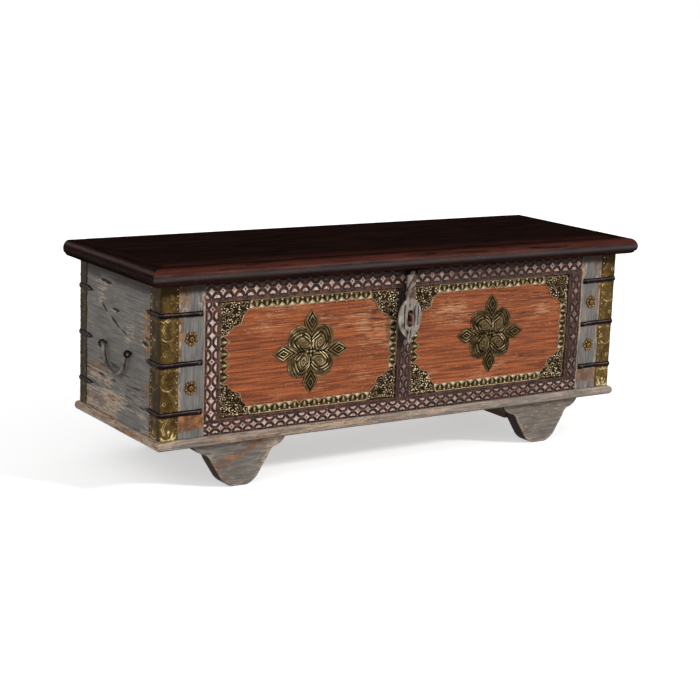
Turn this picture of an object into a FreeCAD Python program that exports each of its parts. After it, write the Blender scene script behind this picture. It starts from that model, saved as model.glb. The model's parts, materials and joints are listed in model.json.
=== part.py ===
import FreeCAD, Part
import os

# A carved and painted wooden trunk with a hinged lid, a hasp and a bail handle on each end.
# Millimetres. X runs along the length, -Y is the carved front, +Z is up, the floor is Z = 0.

# Carcass: the wooden box between the base moulding and the lid
carcass_length = 1130.0
carcass_depth = 366.0
wall_height = 305.0
board_thickness = 20.0
front_board_thickness = 14.0
bottom_plank_thickness = 12.0
bottom_plank_gap = 1.0
bottom_plank_count = 3
rabbet_share = 0.5

# Base moulding, bearers and feet
base_thickness = 19.0
base_width = 70.0
base_projection = 9.0
base_nose_depth = 7.0
foot_height = 94.0
foot_thickness = 38.0
foot_setback = 8.0
foot_top_width = 210.0
foot_ear_shares = ((1.0, 0.0), (0.93, 0.13), (0.75, 0.23))
foot_hollow_shares = ((0.75, 0.23), (0.68, 0.29), (0.63, 0.39))
foot_toe_shares = ((0.42, 0.77), (0.31, 0.91), (0.16, 1.0))
foot_inset = 183.0
bearer_height = 40.0
bearer_width = 46.0
bearer_inset = 34.0

# Carved and painted front
facing_thickness = 10.0
corner_stile_width = 95.0
carved_width = 34.0
carved_top_height = 41.0
carved_bottom_height = 32.0
carved_proud = 2.0
carving_pitch = 25.0
carving_groove_width = 7.0
carving_groove_depth = 3.5
panel_thickness = 4.0

# Brass on the panels: border strips, corner plates and a medallion
border_width = 18.0
border_thickness = 0.8
border_leaf_pitch = 23.0
border_leaf_share = 0.5
plate_leg = 70.0
plate_thickness = 1.2
plate_edge_shares = ((1.0, 0.0), (0.95, 0.24), (0.75, 0.43), (0.67, 0.67))
medallion_width = 178.0
medallion_height = 174.0
medallion_thickness = 1.4
medallion_dome_height = 3.2
petal_radius = 27.5
petal_offset = 26.0
petal_dome_share = 0.84
leaf_half_width = 17.5
leaf_belly_share = 0.62
leaf_root_share = 0.3
hub_radius = 34.0
boss_radius = 10.0
boss_height = 4.5
dome_profile_shares = ((1.0, 0.0), (0.82, 0.45), (0.48, 0.85), (0.0, 1.0))

# Brass corner angles, iron straps and rosette studs
corner_brass_thickness = 1.2
corner_brass_face_leg = 38.0
corner_brass_side_leg = 47.0
corner_brass_rear_side_leg = 36.0
corner_brass_end_gap = 1.0
strap_thickness = 5.0
strap_height = 11.0
strap_face_leg = 90.0
strap_side_leg = 64.0
strap_low_height = 71.0
strap_middle_height = 168.0
strap_high_height = 265.0
strap_outline_shares = ((0.0, 1.0), (0.7, 0.6), (0.86, 1.0), (1.0, 0.0))
rosette_radius = 15.5
rosette_rim_height = 1.6
rosette_dome_height = 4.4
rosette_dome_radius = 10.0
rosette_inset = 65.0

# Lid: nosed rails round three sides, a rear rail, planks in rabbets and battens under them
lid_thickness = 34.0
lid_front_overhang = 34.0
lid_side_overhang = 34.0
lid_rear_overhang = 12.0
lid_rail_width = 55.0
lid_nose_depth = 14.0
lid_plank_thickness = 20.0
lid_plank_lap = 12.0
lid_plank_gap = 0.8
lid_plank_count = 3
lid_batten_width = 60.0
lid_batten_inset = 265.0

# Butt hinges between the back board and the lid
hinge_inset = 185.0
hinge_length = 80.0
hinge_leaf_width = 21.0
hinge_leaf_thickness = 2.0
hinge_barrel_radius = 4.5
hinge_pin_radius = 2.0
hinge_offset = 3.0
hinge_knuckle_count = 5
knuckle_gap = 0.3
leaf_gap = 0.4
barrel_room = 0.4
pin_clearance = 0.05

# Hasp, its eye plate under the lid nosing, its pin and the staple it drops over
hasp_standoff = 14.0
hasp_pivot_drop = 7.0
hasp_thickness = 4.0
hasp_length = 150.0
hasp_neck_length = 56.0
hasp_neck_width = 21.0
hasp_leaf_length = 82.0
hasp_leaf_width = 58.0
hasp_tail_width = 9.0
hasp_flute_depth = 1.2
hasp_flute_width = 4.0
hasp_flute_shares = (-0.62, -0.34, 0.34, 0.62)
hasp_flute_length_share = 0.62
hasp_slot_width = 14.0
hasp_slot_length = 36.0
hasp_knuckle_radius = 4.8
hasp_knuckle_length = 12.0
hasp_pin_radius = 2.5
eye_plate_width = 46.0
eye_plate_depth = 22.0
eye_plate_thickness = 2.0
eye_knuckle_length = 6.0
eye_web_thickness = 4.0
staple_bar_radius = 2.5
staple_leg_spacing = 18.0
staple_reach = 26.0
staple_hole_clearance = 0.2

# Bail handles
bail_bar_radius = 4.0
bail_eye_spacing = 116.0
bail_height = 168.0
bail_standoff = 10.0
bail_drop = 52.0
bail_pin_length = 14.0
bail_shoulder_radius = 10.0
bail_corner_radius = 32.0
eye_ring_radius = 8.0
eye_ring_width = 7.0
eye_ring_bevel_share = 0.6
eye_shank_radius = 3.0
eye_shank_depth = 15.0
eye_shank_clearance = 0.1

# How far every cutting tool runs past the face it opens
cut_overrun = 2.0

# Main planes, worked out from the driving sizes
x_end = carcass_length / 2
lid_depth = lid_front_overhang + carcass_depth + lid_rear_overhang
y_lid_front = -lid_depth / 2
y_lid_rear = lid_depth / 2
y_front = y_lid_front + lid_front_overhang
y_back = y_front + carcass_depth
y_facing_back = y_front + facing_thickness
y_inner_front = y_facing_back + front_board_thickness
y_inner_back = y_back - board_thickness
x_inner = x_end - board_thickness
x_rabbet = x_end - board_thickness * rabbet_share
x_lid_end = x_end + lid_side_overhang
z_base = foot_height
z_wall = z_base + base_thickness
z_lid = z_wall + wall_height
z_top = z_lid + lid_thickness
x_stile = x_end - corner_stile_width
x_panel_outer = x_stile - carved_width
x_panel_inner = carved_width / 2
z_panel_low = z_wall + carved_bottom_height
z_panel_high = z_lid - carved_top_height
y_carved = y_front - carved_proud
y_panel = y_facing_back - panel_thickness
y_hinge = y_back + hinge_offset
y_hasp = y_front - hasp_standoff
z_hasp = z_lid - hasp_pivot_drop
z_hasp_leaf = z_hasp - hasp_neck_length
z_hasp_middle = z_hasp_leaf - hasp_leaf_length / 2
y_middle = (y_front + y_back) / 2
z_bail = z_base + bail_height
x_bail = x_end + bail_standoff
x_foot = x_end - foot_inset
x_hinge = x_end - hinge_inset
x_lid_batten = x_end - lid_batten_inset
strap_heights = (strap_low_height, strap_middle_height, strap_high_height)

X_AXIS = FreeCAD.Vector(1, 0, 0)
Y_AXIS = FreeCAD.Vector(0, 1, 0)
Z_AXIS = FreeCAD.Vector(0, 0, 1)

os.makedirs("parts", exist_ok=True)


def point(x, y, z):
    return FreeCAD.Vector(x, y, z)


def box(x_low, x_high, y_low, y_high, z_low, z_high):
    """A board between two opposite corners."""
    corner = point(x_low, y_low, z_low)
    return Part.makeBox(x_high - x_low, y_high - y_low, z_high - z_low, corner)


def face_of(corners):
    """A flat face inside a closed ring of points."""
    return Part.Face(Part.makePolygon(list(corners) + [corners[0]]))


def face_of_edges(edges):
    """A flat face inside a closed ring of lines and arcs, given in order."""
    return Part.Face(Part.Wire([edge.toShape() for edge in edges]))


def arc(start, middle, end):
    return Part.Arc(start, middle, end)


def line(start, end):
    return Part.LineSegment(start, end)


def fuse(solids):
    """One solid from solids that share material."""
    return solids[0].multiFuse(solids[1:]).removeSplitter()


def mirrored_x(shape):
    return shape.mirror(point(0, 0, 0), X_AXIS)


def save(name, *solids):
    """Write one node: a single solid, or a group of separate solids."""
    shape = solids[0] if len(solids) == 1 else Part.makeCompound(list(solids))
    shape.exportStep("parts/" + name + ".step")


def save_pair(name, shape):
    """The same piece at both ends: built on the right, mirrored for the left."""
    save(name + "_right", shape)
    save(name + "_left", mirrored_x(shape))


# Carcass boards: the front and back boards sit in rabbets of the end boards
def bail_shank(y, clearance):
    start = point(x_end - eye_shank_depth, y, z_bail)
    return Part.makeCylinder(eye_shank_radius + clearance, eye_shank_depth + bail_standoff, start, X_AXIS)


def bail_eye_places():
    return [y_middle + side * bail_eye_spacing / 2 for side in (-1, 1)]


def end_board():
    board = box(x_inner, x_end, y_facing_back, y_back, z_wall, z_lid)
    low, high = z_wall - cut_overrun, z_lid + cut_overrun
    front = box(x_inner - cut_overrun, x_rabbet, y_facing_back - cut_overrun, y_inner_front, low, high)
    back = box(x_inner - cut_overrun, x_rabbet, y_inner_back, y_back + cut_overrun, low, high)
    holes = [bail_shank(y, eye_shank_clearance) for y in bail_eye_places()]
    return board.cut([front, back] + holes)


def staple_legs(clearance):
    """The two round legs of the staple, driven through the mullion into the front board."""
    radius = staple_bar_radius + clearance
    start = y_carved - cut_overrun
    length = y_inner_front - start
    return [Part.makeCylinder(radius, length, point(0, start, z), Y_AXIS)
            for z in (z_hasp_middle - staple_leg_spacing / 2, z_hasp_middle + staple_leg_spacing / 2)]


def front_board():
    board = box(-x_rabbet, x_rabbet, y_facing_back, y_inner_front, z_wall, z_lid)
    return board.cut(staple_legs(staple_hole_clearance))


def hinge_centres():
    return (-x_hinge, x_hinge)


def hinge_barrel(x_low, x_high, radius):
    return Part.makeCylinder(radius, x_high - x_low, point(x_low, y_hinge, z_lid), X_AXIS)


def hinge_span(centre, room):
    return centre - hinge_length / 2 - room, centre + hinge_length / 2 + room


def back_board():
    """The back board, with a shallow seat in its top edge for each hinge leaf and barrel."""
    board = box(-x_rabbet, x_rabbet, y_inner_back, y_back, z_wall, z_lid)
    seats = []
    for centre in hinge_centres():
        low, high = hinge_span(centre, barrel_room)
        seat_depth = leaf_gap / 2 + hinge_leaf_thickness
        leaf_edge = y_hinge - hinge_leaf_width - barrel_room
        seats.append(box(low, high, leaf_edge, y_back + cut_overrun, z_lid - seat_depth, z_lid + cut_overrun))
        seats.append(hinge_barrel(low, high, hinge_barrel_radius + barrel_room))
    return board.cut(seats)


def bottom_planks():
    pitch = (y_inner_back - y_inner_front + bottom_plank_gap) / bottom_plank_count
    planks = []
    for index in range(bottom_plank_count):
        start = y_inner_front + index * pitch
        end = start + pitch - bottom_plank_gap
        planks.append(box(-x_inner, x_inner, start, end, z_wall, z_wall + bottom_plank_thickness))
    return planks


# Base moulding: four rounded boards, mitred at the corners, that the walls stand on
def nosed_profile(depth, width, low, high):
    """Section of a board whose outer edge, at zero, is rounded: reach outwards, then height."""
    middle = (low + high) / 2
    return [("line", (width, low), (depth, low)),
            ("arc", (depth, low), (0, middle), (depth, high)),
            ("line", (depth, high), (width, high)),
            ("line", (width, high), (width, low))]


def swept_profile(profile, place, direction, length):
    """Carry a section of (reach, height) pairs along a straight run."""
    edges = []
    for kind, *corners in profile:
        make = arc if kind == "arc" else line
        edges.append(make(*[place(reach, height) for reach, height in corners]))
    return face_of_edges(edges).extrude(direction * length)


def mitre_wedge(x_corner, y_corner, toward_y, width, low, high, along_x):
    """What a board along X, or one along Y, gives up beyond the diagonal of a right-hand corner."""
    reach = width + cut_overrun
    outer_x, outer_y = x_corner + cut_overrun, y_corner - toward_y * cut_overrun
    inner_x, inner_y = x_corner - reach, y_corner + toward_y * reach
    third_x, third_y = (outer_x, inner_y) if along_x else (inner_x, outer_y)
    bottom = low - cut_overrun
    corners = ((outer_x, outer_y), (inner_x, inner_y), (third_x, third_y))
    ring = [point(x, y, bottom) for x, y in corners]
    return face_of(ring).extrude(Z_AXIS * (high - low + 2 * cut_overrun))


def nosed_board_along_x(x_outer, y_outer, toward_y, width, depth, low, high):
    """A nosed board along the front or back, mitred at both ends."""
    def place(reach, height):
        return point(-x_outer, y_outer + toward_y * reach, height)
    board = swept_profile(nosed_profile(depth, width, low, high), place, X_AXIS, 2 * x_outer)
    wedge = mitre_wedge(x_outer, y_outer, toward_y, width, low, high, True)
    return board.cut([wedge, mirrored_x(wedge)])


def nosed_board_along_y(x_outer, y_low, y_high, mitred, width, depth, low, high):
    """A nosed board along the right end, mitred where it meets another nosed board."""
    def place(reach, height):
        return point(x_outer - reach, y_low, height)
    board = swept_profile(nosed_profile(depth, width, low, high), place, Y_AXIS, y_high - y_low)
    return board.cut([mitre_wedge(x_outer, y, toward_y, width, low, high, False) for y, toward_y in mitred])


def base_mouldings():
    x_outer = x_end + base_projection
    y_low, y_high = y_front - base_projection, y_back + base_projection
    shared = (base_width, base_nose_depth, z_base, z_wall)
    front = nosed_board_along_x(x_outer, y_low, 1, *shared)
    back = nosed_board_along_x(x_outer, y_high, -1, *shared)
    right = nosed_board_along_y(x_outer, y_low, y_high, ((y_low, 1), (y_high, -1)), *shared)
    return front, back, right


# Feet: bracket boards with a round ear, a hollow under it, a slanted cheek and a rounded toe
def foot(x_centre, y_low):
    def at(side, shares):
        width_share, drop_share = shares
        x = x_centre + side * width_share * foot_top_width / 2
        return point(x, y_low, z_base - drop_share * foot_height)

    def half_outline(side):
        ear, hollow, toe = [[at(side, shares) for shares in table]
                            for table in (foot_ear_shares, foot_hollow_shares, foot_toe_shares)]
        return [arc(*ear), arc(*hollow), line(hollow[-1], toe[0]), arc(*toe)]

    flat = line(at(1, foot_toe_shares[-1]), at(-1, foot_toe_shares[-1]))
    crown = line(at(-1, foot_ear_shares[0]), at(1, foot_ear_shares[0]))
    outline = half_outline(1) + [flat] + half_outline(-1)[::-1] + [crown]
    return face_of_edges(outline).extrude(Y_AXIS * foot_thickness)


y_foot_front = y_front + foot_setback
y_foot_rear = y_back - foot_setback - foot_thickness


def bearer():
    """A batten from the front foot to the rear foot, on the inner side of both."""
    low = x_foot - foot_top_width / 2 + bearer_inset
    start, end = y_foot_front + foot_thickness, y_foot_rear
    return box(low, low + bearer_width, start, end, z_base - bearer_height, z_base)


# Carved strips: chip-carved V grooves cross in a lattice of diamonds and half diamonds
def carved_strip(start, along, across, length, width):
    """A strip from its outer low corner, grooved on its front along two crossing diagonals."""
    thickness = y_facing_back - y_carved
    ends = [start, start + along * length, start + along * length + across * width, start + across * width]
    strip = face_of(ends).extrude(Y_AXIS * thickness)
    count = max(1, round(length / carving_pitch))
    pitch = length / count
    tools = []
    for index in range(-1, count + 1):
        left, right = start + along * (index * pitch), start + along * ((index + 1) * pitch)
        tools.append(groove(left, right + across * width))
        tools.append(groove(right, left + across * width))
    return strip.cut(tools)


def groove(start, end):
    """A V-shaped cutter along a line on the carved face."""
    run = end - start
    run.normalize()
    aside = run.cross(Y_AXIS)
    rise = cut_overrun / carving_groove_depth
    half_width = carving_groove_width / 2 * (1 + rise)
    first = start - run * cut_overrun
    ring = [first + Y_AXIS * carving_groove_depth,
            first - Y_AXIS * cut_overrun + aside * half_width,
            first - Y_AXIS * cut_overrun - aside * half_width]
    return face_of(ring).extrude((end - start) + run * (2 * cut_overrun))


def carved_frame():
    rail_length = 2 * x_stile
    top_start, low_start = point(-x_stile, y_carved, z_panel_high), point(-x_stile, y_carved, z_wall)
    top = carved_strip(top_start, X_AXIS, Z_AXIS, rail_length, carved_top_height)
    low = carved_strip(low_start, X_AXIS, Z_AXIS, rail_length, carved_bottom_height)
    height = z_panel_high - z_panel_low
    stile = carved_strip(point(x_panel_outer, y_carved, z_panel_low), Z_AXIS, X_AXIS, height, carved_width)
    mullion = carved_strip(point(-x_panel_inner, y_carved, z_panel_low), Z_AXIS, X_AXIS, height, carved_width)
    return top, low, stile, mullion.cut(staple_legs(staple_hole_clearance))


# Brass trim of one painted panel, built on the right
def border_strip(start, along, inward, length):
    """A sheet strip with a straight outer edge and a row of leaf points along its inner edge."""
    count = max(1, round(length / border_leaf_pitch))
    pitch = length / count
    base = border_width * border_leaf_share
    ring = [start, start + inward * base]
    for index in range(count):
        ring.append(start + along * ((index + 1 / 2) * pitch) + inward * border_width)
        ring.append(start + along * ((index + 1) * pitch) + inward * base)
    ring.append(start + along * length)
    return face_of(ring).extrude(Y_AXIS * -border_thickness)


def brass_border():
    x_low, x_high = x_panel_inner, x_panel_outer
    width = x_high - x_low - 2 * plate_leg
    height = z_panel_high - z_panel_low - 2 * plate_leg
    return [border_strip(point(x_low + plate_leg, y_panel, z_panel_low), X_AXIS, Z_AXIS, width),
            border_strip(point(x_low + plate_leg, y_panel, z_panel_high), X_AXIS, -Z_AXIS, width),
            border_strip(point(x_low, y_panel, z_panel_low + plate_leg), Z_AXIS, X_AXIS, height),
            border_strip(point(x_high, y_panel, z_panel_low + plate_leg), Z_AXIS, -X_AXIS, height)]


def corner_plate(corner, toward_x, toward_z):
    """A corner plate whose long edge is stepped in the same way from both legs."""
    mirrored = [(b, a) for a, b in reversed(plate_edge_shares[:-1])]
    ring = [corner]
    for reach, rise in list(plate_edge_shares) + mirrored:
        ring.append(corner + toward_x * (reach * plate_leg) + toward_z * (rise * plate_leg))
    return face_of(ring).extrude(Y_AXIS * -plate_thickness)


def brass_corners():
    plates = []
    for x, toward_x in ((x_panel_inner, X_AXIS), (x_panel_outer, -X_AXIS)):
        for z, toward_z in ((z_panel_low, Z_AXIS), (z_panel_high, -Z_AXIS)):
            plates.append(corner_plate(point(x, y_panel, z), toward_x, toward_z))
    return plates


def dome(centre, radius, height):
    """A low round swelling on the front of a plate, in three slopes that grow gentler."""
    rings = []
    for (wide, low), (narrow, high) in zip(dome_profile_shares, dome_profile_shares[1:]):
        base = centre - Y_AXIS * (low * height)
        rings.append(Part.makeCone(wide * radius, narrow * radius, (high - low) * height, base, -Y_AXIS))
    return fuse(rings)


def ridged_leaf(root, tip, aside):
    """A pointed leaf, high along its middle and thin at its edges."""
    top = Y_AXIS * -medallion_dome_height
    belly = root + (tip - root) * leaf_belly_share
    left, right = belly + aside * leaf_half_width, belly - aside * leaf_half_width
    crest = belly + top
    faces = [face_of(ring) for ring in ((root, left, crest), (left, tip, crest), (tip, right, crest),
                                        (right, root, crest), (root, right, tip, left))]
    return Part.makeSolid(Part.makeShell(faces))


def medallion():
    """Four domed petals on the diagonals, four ridged leaves between them and a boss in the middle."""
    centre = point((x_panel_inner + x_panel_outer) / 2, y_panel, (z_panel_low + z_panel_high) / 2)
    front = centre - Y_AXIS * medallion_thickness
    solids = [Part.makeCylinder(hub_radius, medallion_thickness, centre, -Y_AXIS)]
    for side_x in (-1, 1):
        for side_z in (-1, 1):
            shift = point(side_x * petal_offset, 0, side_z * petal_offset)
            solids.append(Part.makeCylinder(petal_radius, medallion_thickness, centre + shift, -Y_AXIS))
            solids.append(dome(front + shift, petal_radius * petal_dome_share, medallion_dome_height))
    across = (X_AXIS, medallion_width / 2, Z_AXIS)
    upright = (Z_AXIS, medallion_height / 2, X_AXIS)
    for toward, reach, aside in (across, upright):
        for side in (-1, 1):
            root, tip = toward * (side * reach * leaf_root_share), toward * (side * reach)
            belly = root + (tip - root) * leaf_belly_share
            ring = [point(0, 0, 0), belly + aside * leaf_half_width, tip, belly - aside * leaf_half_width]
            solids.append(face_of([centre + step for step in ring]).extrude(Y_AXIS * -medallion_thickness))
            solids.append(ridged_leaf(front + root, front + tip, aside))
    solids.append(dome(front, boss_radius, boss_height))
    return fuse(solids)


# Brass corner angles and the iron straps that go round the corners over them
def corner_brass(y_face, toward_y, side_leg):
    """A sheet angle over the right-hand corner at the front or back face."""
    low, high = z_wall + corner_brass_end_gap, z_lid - corner_brass_end_gap
    y_outer = y_face - toward_y * corner_brass_thickness
    x_outer = x_end + corner_brass_thickness
    x_leg = x_end - corner_brass_face_leg
    y_leg = y_face + toward_y * side_leg
    corners = ((x_leg, y_face), (x_leg, y_outer), (x_outer, y_outer),
               (x_outer, y_leg), (x_end, y_leg), (x_end, y_face))
    ring = [point(x, y, low) for x, y in corners]
    return face_of(ring).extrude(Z_AXIS * (high - low))


def strap_outline(place, leg):
    """One leg of a strap seen square on: it narrows, flares again and ends in a point."""
    upper = [(reach * leg, rise * strap_height / 2) for reach, rise in strap_outline_shares]
    ring = [(-strap_thickness, strap_height / 2)] + upper
    ring += [(reach, -rise) for reach, rise in reversed(ring[:-1])]
    return face_of([place(reach, rise) for reach, rise in ring])


def iron_strap(y_face, toward_y, height, brass):
    """A strap bent round a right-hand corner, seated on the brass and on the wood beyond it."""
    z = z_base + height
    y_outer = y_face - toward_y * strap_thickness

    def on_face(reach, rise):
        return point(x_end - reach, y_outer, z + rise)

    def on_side(reach, rise):
        return point(x_end, y_face + toward_y * reach, z + rise)

    face_leg = strap_outline(on_face, strap_face_leg).extrude(Y_AXIS * (toward_y * strap_thickness))
    side_leg = strap_outline(on_side, strap_side_leg).extrude(X_AXIS * strap_thickness)
    return fuse([face_leg, side_leg]).cut(brass)


def rosette(x, z):
    """A round stud: a flat rim with a domed middle."""
    seat = point(x, y_front, z)
    rim = Part.makeCylinder(rosette_radius, rosette_rim_height, seat, -Y_AXIS)
    return fuse([rim, dome(seat - Y_AXIS * rosette_rim_height, rosette_dome_radius, rosette_dome_height)])


def rosettes():
    middles = [(low + high) / 2 for low, high in zip(strap_heights, strap_heights[1:])]
    places = [side * (x_end - rosette_inset) for side in (-1, 1)]
    return [rosette(x, z_base + height) for x in places for height in middles]


# Lid: rails with planks let into their rabbets
def rabbet(x_low, x_high, y_low, y_high):
    return box(x_low, x_high, y_low, y_high, z_top - lid_plank_thickness, z_top + cut_overrun)


x_plank_end = x_lid_end - lid_rail_width + lid_plank_lap
y_plank_front = y_lid_front + lid_rail_width - lid_plank_lap
y_plank_rear = y_lid_rear - lid_rail_width + lid_plank_lap


def lid_rails():
    shared = (lid_rail_width, lid_nose_depth, z_lid, z_top)
    plank_room = rabbet(-x_plank_end, x_plank_end, y_plank_front, y_plank_rear)
    front = nosed_board_along_x(x_lid_end, y_lid_front, 1, *shared)
    mitred = ((y_lid_front, 1),)
    right = nosed_board_along_y(x_lid_end, y_lid_front, y_lid_rear, mitred, *shared).cut(plank_room)
    x_rear = x_lid_end - lid_rail_width
    rear = box(-x_rear, x_rear, y_lid_rear - lid_rail_width, y_lid_rear, z_lid, z_top).cut(plank_room)
    seats = []
    for centre in hinge_centres():
        low, high = hinge_span(centre, barrel_room)
        leaf_edge = y_hinge - hinge_leaf_width - barrel_room
        seat_height = leaf_gap / 2 + hinge_leaf_thickness
        reach = hinge_barrel_radius + barrel_room
        behind = y_lid_rear + cut_overrun
        seats.append(box(low, high, leaf_edge, behind, z_lid - cut_overrun, z_lid + seat_height))
        seats.append(box(low, high, y_hinge - reach, behind, z_lid - cut_overrun, z_lid + reach))
    return front.cut(plank_room), right, rear.cut(seats)


def lid_planks():
    pitch = (y_plank_rear - y_plank_front + lid_plank_gap) / lid_plank_count
    planks = []
    for index in range(lid_plank_count):
        start = y_plank_front + index * pitch
        end = start + pitch - lid_plank_gap
        planks.append(box(-x_plank_end, x_plank_end, start, end, z_top - lid_plank_thickness, z_top))
    return planks


def lid_batten():
    low, high = x_lid_batten - lid_batten_width / 2, x_lid_batten + lid_batten_width / 2
    start, end = y_lid_front + lid_rail_width, y_lid_rear - lid_rail_width
    return box(low, high, start, end, z_lid, z_top - lid_plank_thickness)


# Butt hinges: leaves with interleaved knuckles on one pin
def hinge_leaf(centre, above, first):
    """One leaf with every second knuckle. above is 1 for the lid leaf and -1 for the body leaf."""
    low, high = hinge_span(centre, 0)
    pitch = (hinge_length + knuckle_gap) / hinge_knuckle_count
    near, far = z_lid + above * leaf_gap / 2, z_lid + above * (leaf_gap / 2 + hinge_leaf_thickness)
    leaf = box(low, high, y_hinge - hinge_leaf_width, y_hinge, min(near, far), max(near, far))
    own, other = [], []
    for index in range(hinge_knuckle_count):
        start = low + index * pitch
        end = start + pitch - knuckle_gap
        if index % 2 == first:
            own.append(hinge_barrel(start, end, hinge_barrel_radius))
        else:
            room = hinge_barrel_radius + knuckle_gap
            other.append(hinge_barrel(start - knuckle_gap, end + knuckle_gap, room))
    bore = hinge_barrel(low - cut_overrun, high + cut_overrun, hinge_pin_radius + pin_clearance)
    return fuse([leaf.cut(other)] + own).cut(bore)


def hinge_pin(centre):
    low, high = hinge_span(centre, 0)
    return hinge_barrel(low, high, hinge_pin_radius)


# Hasp: a leaf-shaped plate on a pin under the front nosing
def hasp_rod(x_low, x_high, radius):
    return Part.makeCylinder(radius, x_high - x_low, point(x_low, y_hasp, z_hasp), X_AXIS)


def hasp_eye_plate():
    """A plate under the nosing with two knuckles, one each side of the hasp."""
    half_plate = eye_plate_width / 2
    plate = box(-half_plate, half_plate, y_hasp - eye_plate_depth / 2, y_hasp + eye_plate_depth / 2,
                z_lid - eye_plate_thickness, z_lid)
    start = hasp_knuckle_length / 2 + knuckle_gap
    end = start + eye_knuckle_length
    solids = [plate]
    for low, high in ((start, end), (-end, -start)):
        solids.append(hasp_rod(low, high, hasp_knuckle_radius))
        y_web = y_hasp - eye_web_thickness / 2
        solids.append(box(low, high, y_web, y_web + eye_web_thickness, z_hasp, z_lid - eye_plate_thickness))
    reach = end + cut_overrun
    return fuse(solids).cut(hasp_rod(-reach, reach, hasp_pin_radius + pin_clearance))


def hasp_pin():
    reach = hasp_knuckle_length / 2 + knuckle_gap + eye_knuckle_length
    return hasp_rod(-reach, reach, hasp_pin_radius)


def hasp_plate():
    """Knuckle, neck, a fluted leaf with a slot for the staple, and a short tail."""
    y_back_face = y_hasp + hasp_thickness / 2
    half_neck, half_leaf, half_tail = hasp_neck_width / 2, hasp_leaf_width / 2, hasp_tail_width / 2
    half_knuckle = hasp_knuckle_length / 2
    z_shoulder = z_hasp - hasp_knuckle_radius - knuckle_gap
    z_leaf_end = z_hasp_leaf - hasp_leaf_length
    z_tail = z_hasp - hasp_length

    def at(x, z):
        return point(x, y_back_face, z)

    right = [line(at(half_knuckle, z_hasp), at(half_knuckle, z_shoulder)),
             line(at(half_knuckle, z_shoulder), at(half_neck, z_shoulder)),
             line(at(half_neck, z_shoulder), at(half_neck, z_hasp_leaf)),
             arc(at(half_neck, z_hasp_leaf), at(half_leaf, z_hasp_middle), at(half_tail, z_leaf_end)),
             line(at(half_tail, z_leaf_end), at(0, z_tail))]
    left = [line(at(0, z_tail), at(-half_tail, z_leaf_end)),
            arc(at(-half_tail, z_leaf_end), at(-half_leaf, z_hasp_middle), at(-half_neck, z_hasp_leaf)),
            line(at(-half_neck, z_hasp_leaf), at(-half_neck, z_shoulder)),
            line(at(-half_neck, z_shoulder), at(-half_knuckle, z_shoulder)),
            line(at(-half_knuckle, z_shoulder), at(-half_knuckle, z_hasp))]
    crown = line(at(-half_knuckle, z_hasp), at(half_knuckle, z_hasp))
    plate = face_of_edges(right + left + [crown]).extrude(Y_AXIS * -hasp_thickness)
    knuckle = hasp_rod(-half_knuckle, half_knuckle, hasp_knuckle_radius)
    bore = hasp_rod(-hasp_leaf_width, hasp_leaf_width, hasp_pin_radius + pin_clearance)
    return fuse([plate, knuckle]).cut([bore] + hasp_flutes() + [hasp_slot()])


def hasp_flutes():
    """Shallow V flutes down the leaf's front, on both sides of the slot."""
    y_face = y_hasp - hasp_thickness / 2
    half_run = hasp_leaf_length * hasp_flute_length_share / 2
    half_width = hasp_flute_width / 2
    tools = []
    for share in hasp_flute_shares:
        x = share * hasp_leaf_width / 2
        ring = [point(x - half_width, y_face, z_hasp_middle - half_run),
                point(x, y_face + hasp_flute_depth, z_hasp_middle - half_run),
                point(x + half_width, y_face, z_hasp_middle - half_run)]
        tools.append(face_of(ring).extrude(Z_AXIS * (2 * half_run)))
    return tools


def hasp_slot():
    """A slot with round ends, cut through the leaf."""
    radius = hasp_slot_width / 2
    half_straight = hasp_slot_length / 2 - radius
    y_start = y_hasp - hasp_thickness
    depth = 2 * hasp_thickness
    middle = box(-radius, radius, y_start, y_start + depth, z_hasp_middle - half_straight,
                 z_hasp_middle + half_straight)
    ends = [point(0, y_start, z_hasp_middle + side * half_straight) for side in (-1, 1)]
    return fuse([middle] + [Part.makeCylinder(radius, depth, end, Y_AXIS) for end in ends])


def pipe(edges, radius):
    """A round bar along a path of lines and tangent arcs."""
    path = Part.Wire([edge.toShape() for edge in edges])
    first = edges[0]
    tangent = first.EndPoint - first.StartPoint
    ring = Part.Wire([Part.Circle(first.StartPoint, tangent, radius).toShape()])
    return path.makePipeShell([ring], True, False)


def hasp_staple():
    """A U of round bar through the mullion, closed by a half circle in front of the hasp."""
    half = staple_leg_spacing / 2
    y_root = y_inner_front
    y_bend = y_carved - staple_reach + staple_bar_radius + half
    low, high = z_hasp_middle - half, z_hasp_middle + half
    bend = arc(point(0, y_bend, low), point(0, y_bend - half, z_hasp_middle), point(0, y_bend, high))
    return pipe([line(point(0, y_root, low), point(0, y_bend, low)), bend,
                 line(point(0, y_bend, high), point(0, y_root, high))], staple_bar_radius)


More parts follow.
